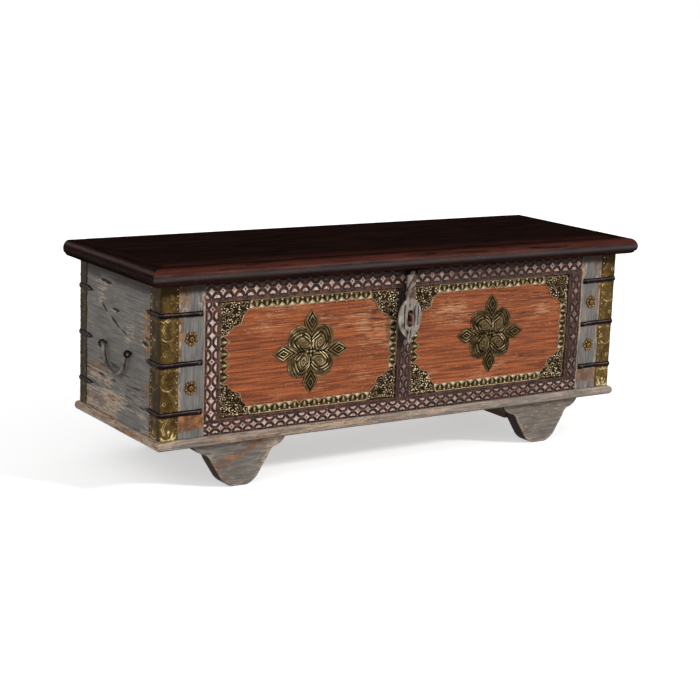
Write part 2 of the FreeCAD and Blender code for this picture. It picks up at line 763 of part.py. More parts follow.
# Bail handles: a bent bar whose ends turn in two ring eyes
def bail():
    half = bail_eye_spacing / 2
    diagonal = 2 ** (1 / 2) / 2
    shoulder, corner = bail_shoulder_radius, bail_corner_radius
    y_bend = half - bail_pin_length / 2
    y_leg = y_bend - shoulder
    z_low = z_bail - bail_drop

    def at(side, y, z):
        return point(x_bail, y_middle + side * y, z)

    def half_path(side):
        tip, bend = at(side, half + bail_pin_length / 2, z_bail), at(side, y_bend, z_bail)
        turn = at(side, y_bend - shoulder * diagonal, z_bail - shoulder * (1 - diagonal))
        leg_high, leg_low = at(side, y_leg, z_bail - shoulder), at(side, y_leg, z_low + corner)
        round_low = at(side, y_leg - corner * (1 - diagonal), z_low + corner * (1 - diagonal))
        foot_end = at(side, y_leg - corner, z_low)
        return tip, bend, turn, leg_high, leg_low, round_low, foot_end

    a, b = half_path(-1), half_path(1)
    return pipe([line(a[0], a[1]), arc(a[1], a[2], a[3]), line(a[3], a[4]), arc(a[4], a[5], a[6]),
                 line(a[6], b[6]), arc(b[6], b[5], b[4]), line(b[4], b[3]), arc(b[3], b[2], b[1]),
                 line(b[1], b[0])], bail_bar_radius)


def handle_eye(y):
    """A ring eye with bevelled edges, on a shank driven into the end board."""
    inner = bail_bar_radius + pin_clearance
    bevel = inner + (eye_ring_radius - inner) * eye_ring_bevel_share
    half = eye_ring_width / 2
    narrow = half * eye_ring_bevel_share
    section = [(inner, -half), (bevel, -half), (eye_ring_radius, -narrow), (eye_ring_radius, narrow),
               (bevel, half), (inner, half)]
    ring = face_of([point(x_bail + reach, y + shift, z_bail) for reach, shift in section])
    ring = ring.revolve(point(x_bail, y, z_bail), Y_AXIS, 360)
    bore = Part.makeCylinder(inner, eye_ring_width, point(x_bail, y - half, z_bail), Y_AXIS)
    return fuse([ring, bail_shank(y, 0)]).cut(bore)


# The nodes, in the order in which the trunk goes together
save("front_board", front_board())
save("back_board", back_board())
save_pair("end_board", end_board())
save("bottom_planks", *bottom_planks())

base_front, base_back, base_right = base_mouldings()
save("base_moulding_front", base_front)
save("base_moulding_back", base_back)
save_pair("base_moulding", base_right)

for row, y_foot in (("front", y_foot_front), ("rear", y_foot_rear)):
    save_pair("foot_" + row, foot(x_foot, y_foot))
save_pair("bearer", bearer())

corner_stile = box(x_stile, x_end, y_front, y_facing_back, z_wall, z_lid)
save_pair("corner_stile", corner_stile)

rail_top, rail_low, carved_stile, carved_mullion = carved_frame()
save("carved_rail_top", rail_top)
save("carved_rail_bottom", rail_low)
save("carved_mullion", carved_mullion)
save_pair("carved_stile", carved_stile)

panel = box(x_panel_inner, x_panel_outer, y_panel, y_facing_back, z_panel_low, z_panel_high)
save_pair("painted_panel", panel)
save_pair("brass_border", Part.makeCompound(brass_border()))
save_pair("brass_corners", Part.makeCompound(brass_corners()))
save_pair("medallion", medallion())

corners = (("front", y_front, 1, corner_brass_side_leg), ("rear", y_back, -1, corner_brass_rear_side_leg))
for row, y_face, toward_y, side_leg in corners:
    brass = corner_brass(y_face, toward_y, side_leg)
    straps = [iron_strap(y_face, toward_y, height, brass) for height in strap_heights]
    save_pair("corner_brass_" + row, brass)
    save_pair("iron_straps_" + row, Part.makeCompound(straps))
save("rosette_studs", *rosettes())

lid_front, lid_right, lid_rear = lid_rails()
save("lid_front_nosing", lid_front)
save_pair("lid_nosing", lid_right)
save("lid_rear_rail", lid_rear)
save("lid_planks", *lid_planks())
save_pair("lid_batten", lid_batten())

save_pair("hinge_leaf_body", hinge_leaf(x_hinge, -1, 0))
save_pair("hinge_leaf_lid", hinge_leaf(x_hinge, 1, 1))
save("hinge_pins", *[hinge_pin(centre) for centre in hinge_centres()])

save("hasp_eye_plate", hasp_eye_plate())
save("hasp_pin", hasp_pin())
save("hasp_plate", hasp_plate())
save("hasp_staple", hasp_staple())
save_pair("handle_eyes", Part.makeCompound([handle_eye(y) for y in bail_eye_places()]))
save_pair("handle_bail", bail())
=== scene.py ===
# %% [markdown]
# This lesson dresses a carved and painted wooden trunk: a dark lid, a blue-grey box with orange
# panels, chip-carved strips, embossed brass, forged iron straps, a hasp and two bail handles.
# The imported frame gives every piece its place, so each surface below is worked out from the
# frame's own boxes and then hung on the body that carries it.

# %% Load the frame
import json
import math
import bmesh
import bpy
import numpy as np
from mathutils import Matrix, Vector


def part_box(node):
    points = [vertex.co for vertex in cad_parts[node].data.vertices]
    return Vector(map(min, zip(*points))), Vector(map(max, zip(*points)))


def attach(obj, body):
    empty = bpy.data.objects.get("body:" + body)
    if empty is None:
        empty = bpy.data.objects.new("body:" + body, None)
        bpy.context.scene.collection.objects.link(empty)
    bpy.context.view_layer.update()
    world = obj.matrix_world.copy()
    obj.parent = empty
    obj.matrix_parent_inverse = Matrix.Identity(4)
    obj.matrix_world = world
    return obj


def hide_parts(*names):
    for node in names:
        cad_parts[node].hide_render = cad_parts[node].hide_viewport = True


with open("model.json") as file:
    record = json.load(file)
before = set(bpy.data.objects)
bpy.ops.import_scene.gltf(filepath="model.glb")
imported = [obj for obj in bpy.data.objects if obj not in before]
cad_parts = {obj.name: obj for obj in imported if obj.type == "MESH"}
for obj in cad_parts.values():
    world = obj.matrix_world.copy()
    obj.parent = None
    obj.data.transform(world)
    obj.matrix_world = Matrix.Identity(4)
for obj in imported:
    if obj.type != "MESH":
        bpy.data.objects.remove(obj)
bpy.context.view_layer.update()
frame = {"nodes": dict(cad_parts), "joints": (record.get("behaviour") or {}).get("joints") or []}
scene = bpy.context.scene
mm = 0.001
sides = (("left", -1), ("right", 1))  # the name of each side and its way outwards along x

# %% [markdown]
# The camera stands where the photo was taken from: a long lens, a third of a right angle round to
# the left, a little above the lid. Its matrix is built from three directions, because a level
# camera turned by angles alone would lose the slight roll of the picture.

# %% Camera
camera_place = Vector((-2.01819, -3.03117, 0.99615))
camera_turn, camera_dip, camera_roll = (math.radians(a) for a in (33.36, 12.19, 2.07))
camera_lens = 88.563

forward = Vector((math.sin(camera_turn) * math.cos(camera_dip),
                  math.cos(camera_turn) * math.cos(camera_dip), -math.sin(camera_dip)))
level = Vector((math.cos(camera_turn), -math.sin(camera_turn), 0))
upright = level.cross(forward)
right = level * math.cos(camera_roll) + upright * math.sin(camera_roll)
up = upright * math.cos(camera_roll) - level * math.sin(camera_roll)

camera_data = bpy.data.cameras.new("camera")
camera_data.lens = camera_lens
camera = bpy.data.objects.new("camera", camera_data)
facing = Matrix((right, up, -forward)).transposed().to_4x4()
camera.matrix_world = Matrix.Translation(camera_place) @ facing
scene.collection.objects.link(camera)
scene.camera = camera
print("camera looks along", [round(x, 3) for x in forward])

# %% [markdown]
# Node trees are easier to read when they look like sums. A signal stands for the output of a node:
# adding, taking away or multiplying signals adds math nodes, and each helper below adds one node
# and gives back its output.

# %% Signals
def srgb(red, green, blue):
    """A colour as the eye reads it, 0 to 255, turned into the linear values that shaders use."""
    shares = np.array([red, green, blue]) / 255
    linear = np.where(shares <= 0.04045, shares / 12.92, ((shares + 0.055) / 1.055) ** 2.4)
    return (*linear.tolist(), 1.0)


class Signal:
    """The output of a node. Each sum, difference or product made with it adds one math node to its tree."""

    def __init__(self, socket):
        self.socket, self.tree = socket, socket.id_data

    def math(self, operation, first, second):
        return add(self.tree, "ShaderNodeMath", {0: first, 1: second}, operation=operation)

    def __add__(self, other):
        return self.math("ADD", self, other)

    def __sub__(self, other):
        return self.math("SUBTRACT", self, other)

    def __rsub__(self, other):
        return self.math("SUBTRACT", other, self)

    def __mul__(self, other):
        return self.math("MULTIPLY", self, other)


def put_all(sockets, values):
    """Link each signal to the socket of that name or number; set each plain value on its socket."""
    for name, value in values.items():
        if isinstance(value, Signal):
            value.tree.links.new(value.socket, sockets[name])
        else:
            sockets[name].default_value = value


def add(tree, kind, inputs=None, output=0, **settings):
    """One node with its inputs and settings; the chosen output comes back as a signal."""
    made = tree.nodes.new(kind)
    for name, value in settings.items():
        setattr(made, name, value)
    put_all(made.inputs, inputs or {})
    return Signal(made.outputs[output])


print("signals ready")

# %% Shader shorthands
def noise(vector, scale, detail, roughness, distortion=0.0):
    """Cloudy noise of that many lumps per metre."""
    return add(vector.tree, "ShaderNodeTexNoise", {"Vector": vector, "Scale": scale, "Detail": detail,
               "Roughness": roughness, "Distortion": distortion})


def between(value, low, high):
    """0 below low, 1 above high, eased in between; low may be the larger one."""
    return add(value.tree, "ShaderNodeMapRange", {"Value": value, "From Min": low, "From Max": high},
               interpolation_type="SMOOTHSTEP")


def mapped(value, to_low, to_high, low=0.0, high=1.0):
    """A straight line from (low, to_low) to (high, to_high), held level beyond both."""
    return add(value.tree, "ShaderNodeMapRange", {"Value": value, "From Min": low, "From Max": high,
               "To Min": to_low, "To Max": to_high})


def blend(share, first, second):
    """The first colour where share is 0, the second where it is 1."""
    return add(share.tree, "ShaderNodeMix", {0: share, 6: first, 7: second}, 2, data_type="RGBA")


def layered(colour, *layers):
    """A colour with others laid over it in turn; each layer is a share and a colour."""
    for share, over in layers:
        colour = blend(share, colour, over)
    return colour


def bumped(height, strength, distance):
    """A normal that leans with the slope of the height."""
    return add(height.tree, "ShaderNodeBump", {"Height": height, "Strength": strength, "Distance": distance})


def stretched(tree, scale=(1, 1, 1), turn=(0, 0, 0)):
    """Object coordinates, scaled and turned, so that a pattern runs along the grain."""
    return add(tree, "ShaderNodeMapping", {"Vector": add(tree, "ShaderNodeTexCoord", output="Object"),
               "Scale": scale, "Rotation": turn})


def mark(tree, name):
    """The value stored on the piece's points under that name, or 0."""
    return add(tree, "ShaderNodeAttribute", output="Fac", attribute_name=name)


def seen_directly(tree):
    """1 for rays from the camera, off a shine or through glass, else 0: the largest of the three."""
    rays = tree.nodes.new("ShaderNodeLightPath").outputs
    seen = Signal(rays["Is Camera Ray"])
    for kind in ("Is Glossy Ray", "Is Transmission Ray"):
        seen = seen.math("MAXIMUM", seen, Signal(rays[kind]))
    return seen


print("shorthands ready")

# %% Groups and materials
def shader_group(name, inputs, formula):
    """A shader group: formula takes the named inputs as signals and gives the named outputs."""
    tree = bpy.data.node_groups.new(name, "ShaderNodeTree")
    for label, kind in inputs.items():
        tree.interface.new_socket(label, in_out="INPUT", socket_type="NodeSocket" + kind)
    made = formula({socket.name: Signal(socket) for socket in tree.nodes.new("NodeGroupInput").outputs})
    for label in made:
        tree.interface.new_socket(label, in_out="OUTPUT", socket_type="NodeSocketFloat")
    put_all(tree.nodes.new("NodeGroupOutput").inputs, made)
    print("group", name, "gives", list(made))
    return tree


def use(tree, group, inputs):
    """A group put to use in a tree: its outputs as signals, by name."""
    made = tree.nodes.new("ShaderNodeGroup")
    made.node_tree = group
    put_all(made.inputs, inputs)
    return {socket.name: Signal(socket) for socket in made.outputs}


def new_material(name):
    """A material with nodes: itself, its tree and the inputs of its shader."""
    material = bpy.data.materials.new(name)
    material.use_nodes = True
    tree = material.node_tree
    return material, tree, tree.nodes["Principled BSDF"].inputs


print("groups and materials ready")

# %% [markdown]
# A plain pale floor runs under the trunk and far behind it. To the camera, and in reflections, it
# is lifted to white by a little emission, so that the trunk's own light stays at a plain level
# and the floor keeps the shadow. A soft sun from the upper right, a softer fill from the left and a
# grey sky light the trunk.

# %% Floor, sun and sky
floor_half = 40.0
floor_colour, white = srgb(236, 236, 236), (1, 1, 1, 1)
floor_lift = 0.5
sky_level = 0.5
suns = {  # strength, softness in degrees and the direction the light comes from
    "sun": (2.0, 9, (0.62, -0.75, 0.62)),
    "fill": (0.85, 60, (-0.95, -0.35, 0.55)),
}

floor_corners = [(x * floor_half, y * floor_half, 0) for x, y in ((-1, -1), (1, -1), (1, 1), (-1, 1))]
floor_mesh = bpy.data.meshes.new("floor")
floor_mesh.from_pydata(floor_corners, [], [(0, 1, 2, 3)])
floor = bpy.data.objects.new("floor", floor_mesh)
scene.collection.objects.link(floor)

floor_material, tree, shader = new_material("pale_floor")
put_all(shader, {"Base Color": floor_colour, "Roughness": 1.0, "Specular IOR Level": 0.0,
                 "Emission Color": white, "Emission Strength": seen_directly(tree) * floor_lift})
floor_mesh.materials.append(floor_material)

for name, (strength, softness, comes_from) in suns.items():
    light_data = bpy.data.lights.new(name, "SUN")
    light_data.energy = strength
    light_data.angle = math.radians(softness)
    light = bpy.data.objects.new(name, light_data)
    light.rotation_mode = "QUATERNION"
    light.rotation_quaternion = Vector(comes_from).to_track_quat("Z", "Y")
    scene.collection.objects.link(light)

sky = bpy.data.worlds.new("sky")
scene.world = sky
sky.use_nodes = True
put_all(sky.node_tree.nodes["Background"].inputs,
        {"Color": white, "Strength": mapped(seen_directly(sky.node_tree), sky_level, 1.0)})
scene.view_settings.view_transform = "Standard"
print("stage lit, sky level", sky_level)

# %% [markdown]
# Several finishes share the same ageing, so each kind of ageing is one node group. The grain of wood
# shows as long streaks with fine pores between them, which is one noise at two scales, stretched
# along the board by the vector that the material hands in.

# %% Group: wood grain
def grain_formula(given):
    """Streaks: long clouds along the grain. Pores: the same at a finer scale."""
    vector = given["Vector"]
    return {"Streaks": noise(vector, 9.0, 5.0, 0.62, 0.3), "Pores": noise(vector, 46.0, 4.0, 0.6)}


grain_group = shader_group("wood_grain", {"Vector": "Vector"}, grain_formula)

# %% [markdown]
# Old paint goes first to a cream undercoat and then to bare wood, most of all near edges. One value,
# the wear, is enough for that: cream shows above one level of it and wood above a higher one.

# %% Group: worn paint
def wear_formula(given):
    """Wear is streaks plus broad patches plus flecks plus the edge mark plus an even amount. Cream and bare
    wood are two levels of it. Dirt and tone are clouds of their own."""
    grain, plain = given["Grain"], given["Plain"]
    wear = noise(grain, 24.0, 6.0, 0.7, 0.3) * 0.5 + noise(plain, 7.0, 4.0, 0.6) * 0.5
    wear = wear + (noise(grain, 80.0, 5.0, 0.75) - 0.5) * 0.65 + given["Edge"] * 0.1 + given["Amount"]
    return {"Cream": between(wear, 0.57, 0.65), "Bare": between(wear, 0.68, 0.73),
            "Dirt": between(noise(plain, 16.0, 6.0, 0.7), 0.48, 0.72),
            "Tone": noise(grain, 26.0, 6.0, 0.66)}


wear_group = shader_group("paint_wear", {"Grain": "Vector", "Plain": "Vector", "Edge": "Float",
                                         "Amount": "Float"}, wear_formula)

# %% [markdown]
# Brass and iron stay bright where hands and cloths reach them, on the crests of the embossing, and go
# dark in the hollows. The crest mark of the piece says which is which, and patina breaks it up.

# %% Group: tarnish
def tarnish_formula(given):
    """Shine rises on crests and falls in hollows, broken by cloudy patina; scuff is fine rubbed flecks."""
    vector = given["Vector"]
    lifted = given["Crest"] + (noise(vector, 60.0, 5.0, 0.7) - 0.5) * given["Clouds"]
    return {"Shine": between(lifted, 0.5, 0.95), "Hollow": between(lifted, 0.5, 0.1),
            "Scuff": between(noise(vector, 260.0, 4.0, 0.7), 0.5, 0.72)}


tarnish_group = shader_group("metal_tarnish", {"Vector": "Vector", "Crest": "Float", "Clouds": "Float"},
                             tarnish_formula)

# %% [markdown]
# Distressed blue-grey paint covers the ends, stiles, base and feet. It is a brushed coat over cream
# over brown wood, so the material lays three colours over each other with the wear group's masks.
# The marks stored on each board add the edges, the gouges together with painted shade, and the places rubbed
# hardest.

# %% Finish: blue-grey paint
def blue_grey_paint(name, grain_scale, amount, tones, turn=(0, 0, 0)):
    """Paint in two tones over cream over wood; grain_scale is small along the grain and large across it."""
    material, tree, shader = new_material(name)
    plain = stretched(tree)
    wear = use(tree, wear_group, {"Grain": stretched(tree, grain_scale, turn), "Plain": plain,
                                  "Edge": mark(tree, "edge"), "Amount": mark(tree, "rubbed") * 0.12 + amount})
    tone, dirt = wear["Tone"], wear["Dirt"]
    rusty = blend(between(noise(plain, 45.0, 5.0, 0.7), 0.4, 0.62), srgb(98, 62, 40), srgb(158, 110, 66))
    rusty = blend(dirt * 0.7, rusty, srgb(96, 64, 44))
    bare = blend(between(tone, 0.34, 0.66), srgb(84, 62, 44), srgb(132, 102, 74))
    colour = layered(
        blend(between(tone, 0.36, 0.66), *tones), (dirt * 0.35, srgb(80, 70, 60)),
        (mark(tree, "stained") * between(tone, 0.33, 0.5), rusty),
        (wear["Cream"], srgb(176, 156, 136)), (wear["Bare"], srgb(104, 72, 52)),
        # Near black: real gouges and cracks, and painted shade under the lid, under the base's lip and on the feet's
        # walls.
        (mark(tree, "gouge"), srgb(32, 20, 16)), (mark(tree, "inside"), bare))
    put_all(shader, {
        "Base Color": colour, "Roughness": 0.74, "Specular IOR Level": 0.18,
        "Normal": bumped(tone - wear["Bare"], 0.4, 0.9 * mm)})
    return material


grey_tones, stile_tones = (srgb(88, 86, 84), srgb(116, 111, 105)), (srgb(92, 90, 87), srgb(124, 119, 114))
base_tones, foot_tones = (srgb(108, 102, 96), srgb(150, 140, 129)), (srgb(92, 88, 83), srgb(124, 117, 108))
foot_grain_turn = (0, math.radians(24), 0)
paint_along_y = blue_grey_paint("blue_grey_paint_ends", (10, 0.6, 10), -0.03, grey_tones)
paint_along_z = blue_grey_paint("blue_grey_paint_stiles", (10, 10, 1.1), -0.05, stile_tones)
paint_on_base = blue_grey_paint("blue_grey_paint_base", (1.0, 10, 10), 0.0, base_tones)
paint_on_base_ends = blue_grey_paint("blue_grey_paint_base_ends", (10, 1.0, 10), 0.0, base_tones)
paint_along_x = blue_grey_paint("blue_grey_paint_back", (1.0, 10, 10), -0.02, grey_tones)
paint_on_feet = blue_grey_paint("blue_grey_paint_feet", (1.3, 10, 10), 0.0, foot_tones, foot_grain_turn)
print("blue-grey paint in six finishes")

# %% [markdown]
# The two panels are burnt orange, rubbed back along a horizontal grain to red-brown and to pale
# streaks, with a cream margin left under the brass leaves.

# %% Finish: orange panels
def orange_paint(name):
    """Two oranges along the grain, with dark pores, worn cream and grey, dark and pale specks, cracks and the
    cream margin laid over them in turn."""
    material, tree, shader = new_material(name)
    plain = stretched(tree)
    grain = use(tree, grain_group, {"Vector": stretched(tree, (1.0, 26, 26))})
    wear = use(tree, wear_group, {"Grain": stretched(tree, (0.6, 14, 14)), "Plain": plain, "Edge": 0.0,
                                  "Amount": mark(tree, "rubbed") * 0.1 - 0.025})
    specks = noise(plain, 260.0, 3.0, 0.6)
    colour = layered(
        blend(between(grain["Streaks"], 0.34, 0.66), srgb(100, 48, 25), srgb(162, 88, 47)),
        (between(grain["Pores"], 0.52, 0.7) * 0.7, srgb(88, 44, 28)),
        (wear["Cream"] * 0.75, srgb(202, 154, 114)), (wear["Bare"] * 0.85, srgb(150, 130, 112)),
        (between(specks, 0.6, 0.72) * 0.6, srgb(72, 40, 30)),
        (between(specks, 0.38, 0.28) * 0.5, srgb(196, 150, 116)),
        (mark(tree, "gouge"), srgb(58, 34, 28)), (mark(tree, "margin"), srgb(206, 188, 164)))
    put_all(shader, {
        "Base Color": colour, "Roughness": 0.66, "Specular IOR Level": 0.2,
        "Normal": bumped(grain["Streaks"] - grain["Pores"] * 0.6, 0.45, 0.9 * mm)})
    return material


panel_paint = orange_paint("orange_paint_panel")
print("finish", panel_paint.name)

# %% [markdown]
# The carving is dark red-brown in its grooves and pinkish cream on its lands, where an old pale coat
# is left. The height mark of the relief tells the two apart, and noise rubs some lands away.

# %% Finish: carved strips
def carved_wood(name):
    """Level is the crest mark shaken by noise. It runs from dark groove through brown ground to pale lands. The
    muted mark holds worn-off pale coat and painted shade: it darkens the ground and, broken by faded patches, hides
    the lands."""
    material, tree, shader = new_material(name)
    plain, muted = stretched(tree), mark(tree, "muted")
    rub = noise(plain, 90.0, 5.0, 0.7)
    level = mark(tree, "crest") + (rub - 0.5) * 0.95
    faded = between(noise(plain, 30.0, 4.0, 0.6), 0.36, 0.6)
    lands = between(level, 0.54, 0.7) * (1.0 - muted * (faded * 0.4 + 0.5))
    groove = blend(between(noise(plain, 60.0, 4.0, 0.6), 0.42, 0.62), srgb(42, 29, 27), srgb(92, 54, 45))
    pale = blend(between(noise(plain, 200.0, 4.0, 0.65), 0.35, 0.65), srgb(158, 132, 118), srgb(218, 200, 186))
    colour = layered(
        groove, (between(level, 0.1, 0.5), srgb(108, 80, 71)), (muted * 0.45, srgb(46, 34, 31)),
        (lands, pale))
    put_all(shader, {
        "Base Color": colour, "Roughness": 0.7, "Specular IOR Level": 0.2,
        "Normal": bumped(rub, 0.25, 0.6 * mm)})
    return material


carving_finish = carved_wood("carved_wood_relief")
print("finish", carving_finish.name)

# %% [markdown]
# The lid is stained almost black and waxed, with a red-brown glow where hands have rubbed its front
# edge and a few pale nicks. Bare wood inside and underneath is a plain brown with the same grain.

# %% Finish: lid wood and bare wood
def stained_wood(name, grain_scale, tones, roughness, gloss, wax):
    """Dark and warm tones along the grain. The glow mark adds the third tone, the rubbed mark adds wax, and
    the edge mark leaves pale nicks."""
    material, tree, shader = new_material(name)
    dark, warm, glow = tones
    vector = stretched(tree, grain_scale)
    grain = use(tree, grain_group, {"Vector": vector})
    nicks = between(noise(vector, 80.0, 4.0, 0.7), 0.6, 0.7) * mark(tree, "edge") * 0.5
    colour = layered(
        blend(between(grain["Streaks"], 0.36, 0.7), dark, warm),
        (between(grain["Pores"], 0.5, 0.7) * 0.6, dark),
        (mark(tree, "glow") * between(grain["Streaks"], 0.26, 0.6), glow),
        (nicks, srgb(120, 98, 88)))
    clouds = noise(stretched(tree), 14.0, 4.0, 0.6)
    put_all(shader, {
        "Base Color": colour, "Specular IOR Level": gloss, "Coat Roughness": 0.26,
        "Roughness": mapped(clouds, roughness - 0.06, roughness + 0.1, 0.3, 0.7),
        "Coat Weight": mark(tree, "rubbed") * wax,
        "Normal": bumped(grain["Pores"], 0.25, 0.7 * mm)})
    return material


lid_tones = srgb(18, 11, 10), srgb(34, 20, 17), srgb(72, 37, 29)
front_board_tones = srgb(88, 62, 42), srgb(136, 102, 70), srgb(150, 112, 76)
bearer_tones = srgb(66, 46, 34), srgb(110, 82, 58), srgb(120, 90, 60)
lid_along_x = stained_wood("lid_wood_along_x", (1.0, 12, 12), lid_tones, 0.5, 0.0, 0.8)
lid_along_y = stained_wood("lid_wood_along_y", (12, 1.0, 12), lid_tones, 0.5, 0.0, 0.8)
bare_along_x = stained_wood("bare_wood_along_x", (1.2, 11, 11), front_board_tones, 0.7, 0.2, 0.0)
bare_along_y = stained_wood("bare_wood_along_y", (11, 1.2, 11), bearer_tones, 0.72, 0.2, 0.0)
print("lid and bare wood ready")

# %% [markdown]
# Brass here is thin embossed sheet that has gone olive and brown. It is a metal, so its base colour
# is the colour of its reflection: gold on the crests, near black in the hollows.

# %% Finish: brass, iron and hasp metal
scuff_share = 0.3
rust_colour = srgb(88, 68, 55)


def aged_metal(name, hollow, body, crest, roughness, metallic, clouds=0.5):
    """Hollow, body and crest colours, chosen by the tarnish group from the crest mark; rust where marked."""
    material, tree, shader = new_material(name)
    vector = stretched(tree)
    tarnish = use(tree, tarnish_group, {"Vector": vector, "Crest": mark(tree, "crest"), "Clouds": clouds})
    rust = mark(tree, "rust") * between(noise(vector, 90.0, 4.0, 0.7), 0.36, 0.56)
    colour = layered(
        srgb(*body), (tarnish["Shine"], srgb(*crest)), (tarnish["Scuff"] * scuff_share, srgb(*crest)),
        (tarnish["Hollow"], srgb(*hollow)), (rust, rust_colour))
    put_all(shader, {
        "Base Color": colour, "Metallic": metallic, "Specular IOR Level": 0.0,
        "Roughness": mapped(tarnish["Shine"], roughness + 0.18, roughness),
        "Normal": bumped(tarnish["Scuff"], 0.2, 0.3 * mm)})
    return material


border_brass = aged_metal("panel_brass_border", (44, 33, 20), (130, 114, 78), (226, 208, 172), 0.36, 0.5)
plate_brass = aged_metal("panel_brass_plates", (38, 29, 18), (104, 84, 60), (222, 204, 168), 0.36, 0.5)
medallion_brass = aged_metal("panel_brass_medallion", (26, 20, 10), (98, 80, 52), (226, 206, 160), 0.36, 0.5)
angle_brass = aged_metal("corner_brass_angle", (46, 34, 18), (86, 66, 34), (224, 198, 140), 0.34, 0.55)
rosette_brass = aged_metal("panel_brass_rosette", (44, 30, 19), (98, 72, 44), (186, 148, 94), 0.42, 0.55)
forged_iron = aged_metal("dark_iron_forged", (16, 12, 11), (38, 29, 28), (104, 94, 92), 0.36, 0.5)
worn_iron = aged_metal("dark_iron_worn", (26, 20, 18), (64, 54, 49), (170, 158, 148), 0.4, 0.4)
rusty_iron = aged_metal("dark_iron_rusty", (56, 38, 30), (124, 90, 74), (168, 134, 116), 0.55, 0.2)
hasp_metal = aged_metal("worn_hasp_metal_plate", (42, 36, 31), (134, 125, 117), (186, 178, 168), 0.5, 0.2, 0.9)
print("metals ready")

# %% [markdown]
# Every new surface is an array of rings of points. Neighbouring rings are joined by four-sided faces,
# and the ends are capped or drawn to a single middle point, so each piece is a closed skin. Three
# small functions shape nearly all relief: a smooth noise, an eased step and a bell.

# %% Skins
sharp_angle = math.radians(38)


def quads(stations, ring, close_path, close_ring):
    """Faces between neighbouring stations and neighbouring places of a grid of points."""
    index = np.arange(stations * ring).reshape(stations, ring)
    index = np.pad(index, ((0, int(close_path)), (0, int(close_ring))), mode="wrap")
    corners = index[:-1, :-1], index[:-1, 1:], index[1:, 1:], index[1:, :-1]
    return np.stack(corners, axis=-1).reshape(-1, 4)


def loft(rings):
    """Rings of points (station, place, xyz), each closed on itself, capped at both ends."""
    stations, ring, _ = rings.shape
    caps = np.arange(ring)[None] + np.array([[0], [(stations - 1) * ring]])
    return rings.reshape(-1, 3), [quads(stations, ring, False, True), caps]


def joined(parts):
    """Several skins as one. A skin is an array of points and a list of blocks of faces, each block an array."""
    points, faces, count = [], [], 0
    for some_points, blocks in parts:
        points.append(some_points)
        faces += [block + count for block in blocks]
        count += len(some_points)
    return np.concatenate(points), faces


def add_piece(name, skin, body, material, marks, stands_for=()):
    """Put a skin into a mesh, turn its faces outwards, store its marks and hang it on its body."""
    points, faces = skin
    mesh = bpy.data.meshes.new(name)
    mesh.from_pydata(points.tolist(), [], sum((block.tolist() for block in faces), []))
    work = bmesh.new()
    work.from_mesh(mesh)
    bmesh.ops.recalc_face_normals(work, faces=work.faces)
    work.to_mesh(mesh)
    work.free()
    mesh.shade_smooth()
    mesh.set_sharp_from_angle(angle=sharp_angle)
    for label, values in marks.items():
        stored = mesh.attributes.new(label, "FLOAT", "POINT")
        stored.data.foreach_set("value", np.asarray(values, np.float32).ravel())
    piece = bpy.data.objects.new(name, mesh)
    scene.collection.objects.link(piece)
    mesh.materials.append(material)
    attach(piece, body)
    if stands_for:
        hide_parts(*stands_for)
    print(name, len(points), "points")


def add_metal(name, parts, material, node):
    """One piece on the trunk from several pairs of a skin and its crest mark."""
    add_piece(name, joined([skin for skin, _ in parts]), "trunk", material,
              {"crest": np.concatenate([crest.ravel() for _, crest in parts])}, [node])


print("skins ready")

# %% Relief functions
lattice_size = 97


def soft_noise(first, second, seed):
    """Random heights on a unit lattice joined by smooth curves, from -1 to 1."""
    lattice = np.random.default_rng(seed).uniform(-1, 1, (lattice_size, lattice_size))
    low_a, low_b = np.floor(first).astype(int), np.floor(second).astype(int)
    ease_a, ease_b = (part * part * (3 - 2 * part) for part in (first - low_a, second - low_b))

    def row(place):
        """Heights along one row of the lattice, eased from each post to the following one."""
        near, far = (lattice[post % lattice_size, place % lattice_size] for post in (low_a, low_a + 1))
        return near * (1 - ease_a) + far * ease_a

    return row(low_b) * (1 - ease_b) + row(low_b + 1) * ease_b


def full_turn(count):
    """Evenly spaced angles once round a circle."""
    return np.linspace(0, 2 * np.pi, count, endpoint=False)


def eased(value, low, high):
    """0 below low, 1 above high and a smooth step between them; low may be the larger one."""
    share = np.clip((value - low) / (high - low), 0, 1)
    return share * share * (3 - 2 * share)


def bell(distance, width):
    """A smooth hill: 1 where the distance is 0, falling as the exponential of minus (distance / width) squared."""
    return np.exp(-(distance / width) ** 2)


def highest(*values):
    """The largest of several arrays, point by point."""
    return np.maximum.reduce(np.broadcast_arrays(*values))


print("relief functions ready")

# %% [markdown]
# A worn board is a flat slab whose front is lifted and lowered by a relief: pores along the grain,
# rounded rims and gouges. The front is a grid of points; the back is a short list of corners, so a
# rabbet can be stepped into it.

# %% Worn boards
x_way, y_way, z_way = np.eye(3)
edge_band = 9 * mm


def corners_of(node):
    """The low and the high corner of a node's box."""
    low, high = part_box(node)
    return np.array(low), np.array(high)


def spread(length, step, rim):
    """Places along a length, even in the middle and closer inside the rounded rim at each end."""
    near = rim * np.array([0, 0.08, 0.3])
    count = max(2, int(round((length - 2 * rim) / step)) + 1)
    return np.concatenate([near, np.linspace(rim, length - rim, count), length - near[::-1]])


def rim_drop(u, v, length, width, rim):
    """How far a quarter-round rim falls below the flat: the radius less the height of its circle."""
    over_u = np.maximum(rim - np.minimum(u, length - u), 0)
    over_v = np.maximum(rim - np.minimum(v, width - v), 0)
    return rim - np.sqrt(np.maximum(rim ** 2 - over_u ** 2 - over_v ** 2, 0))


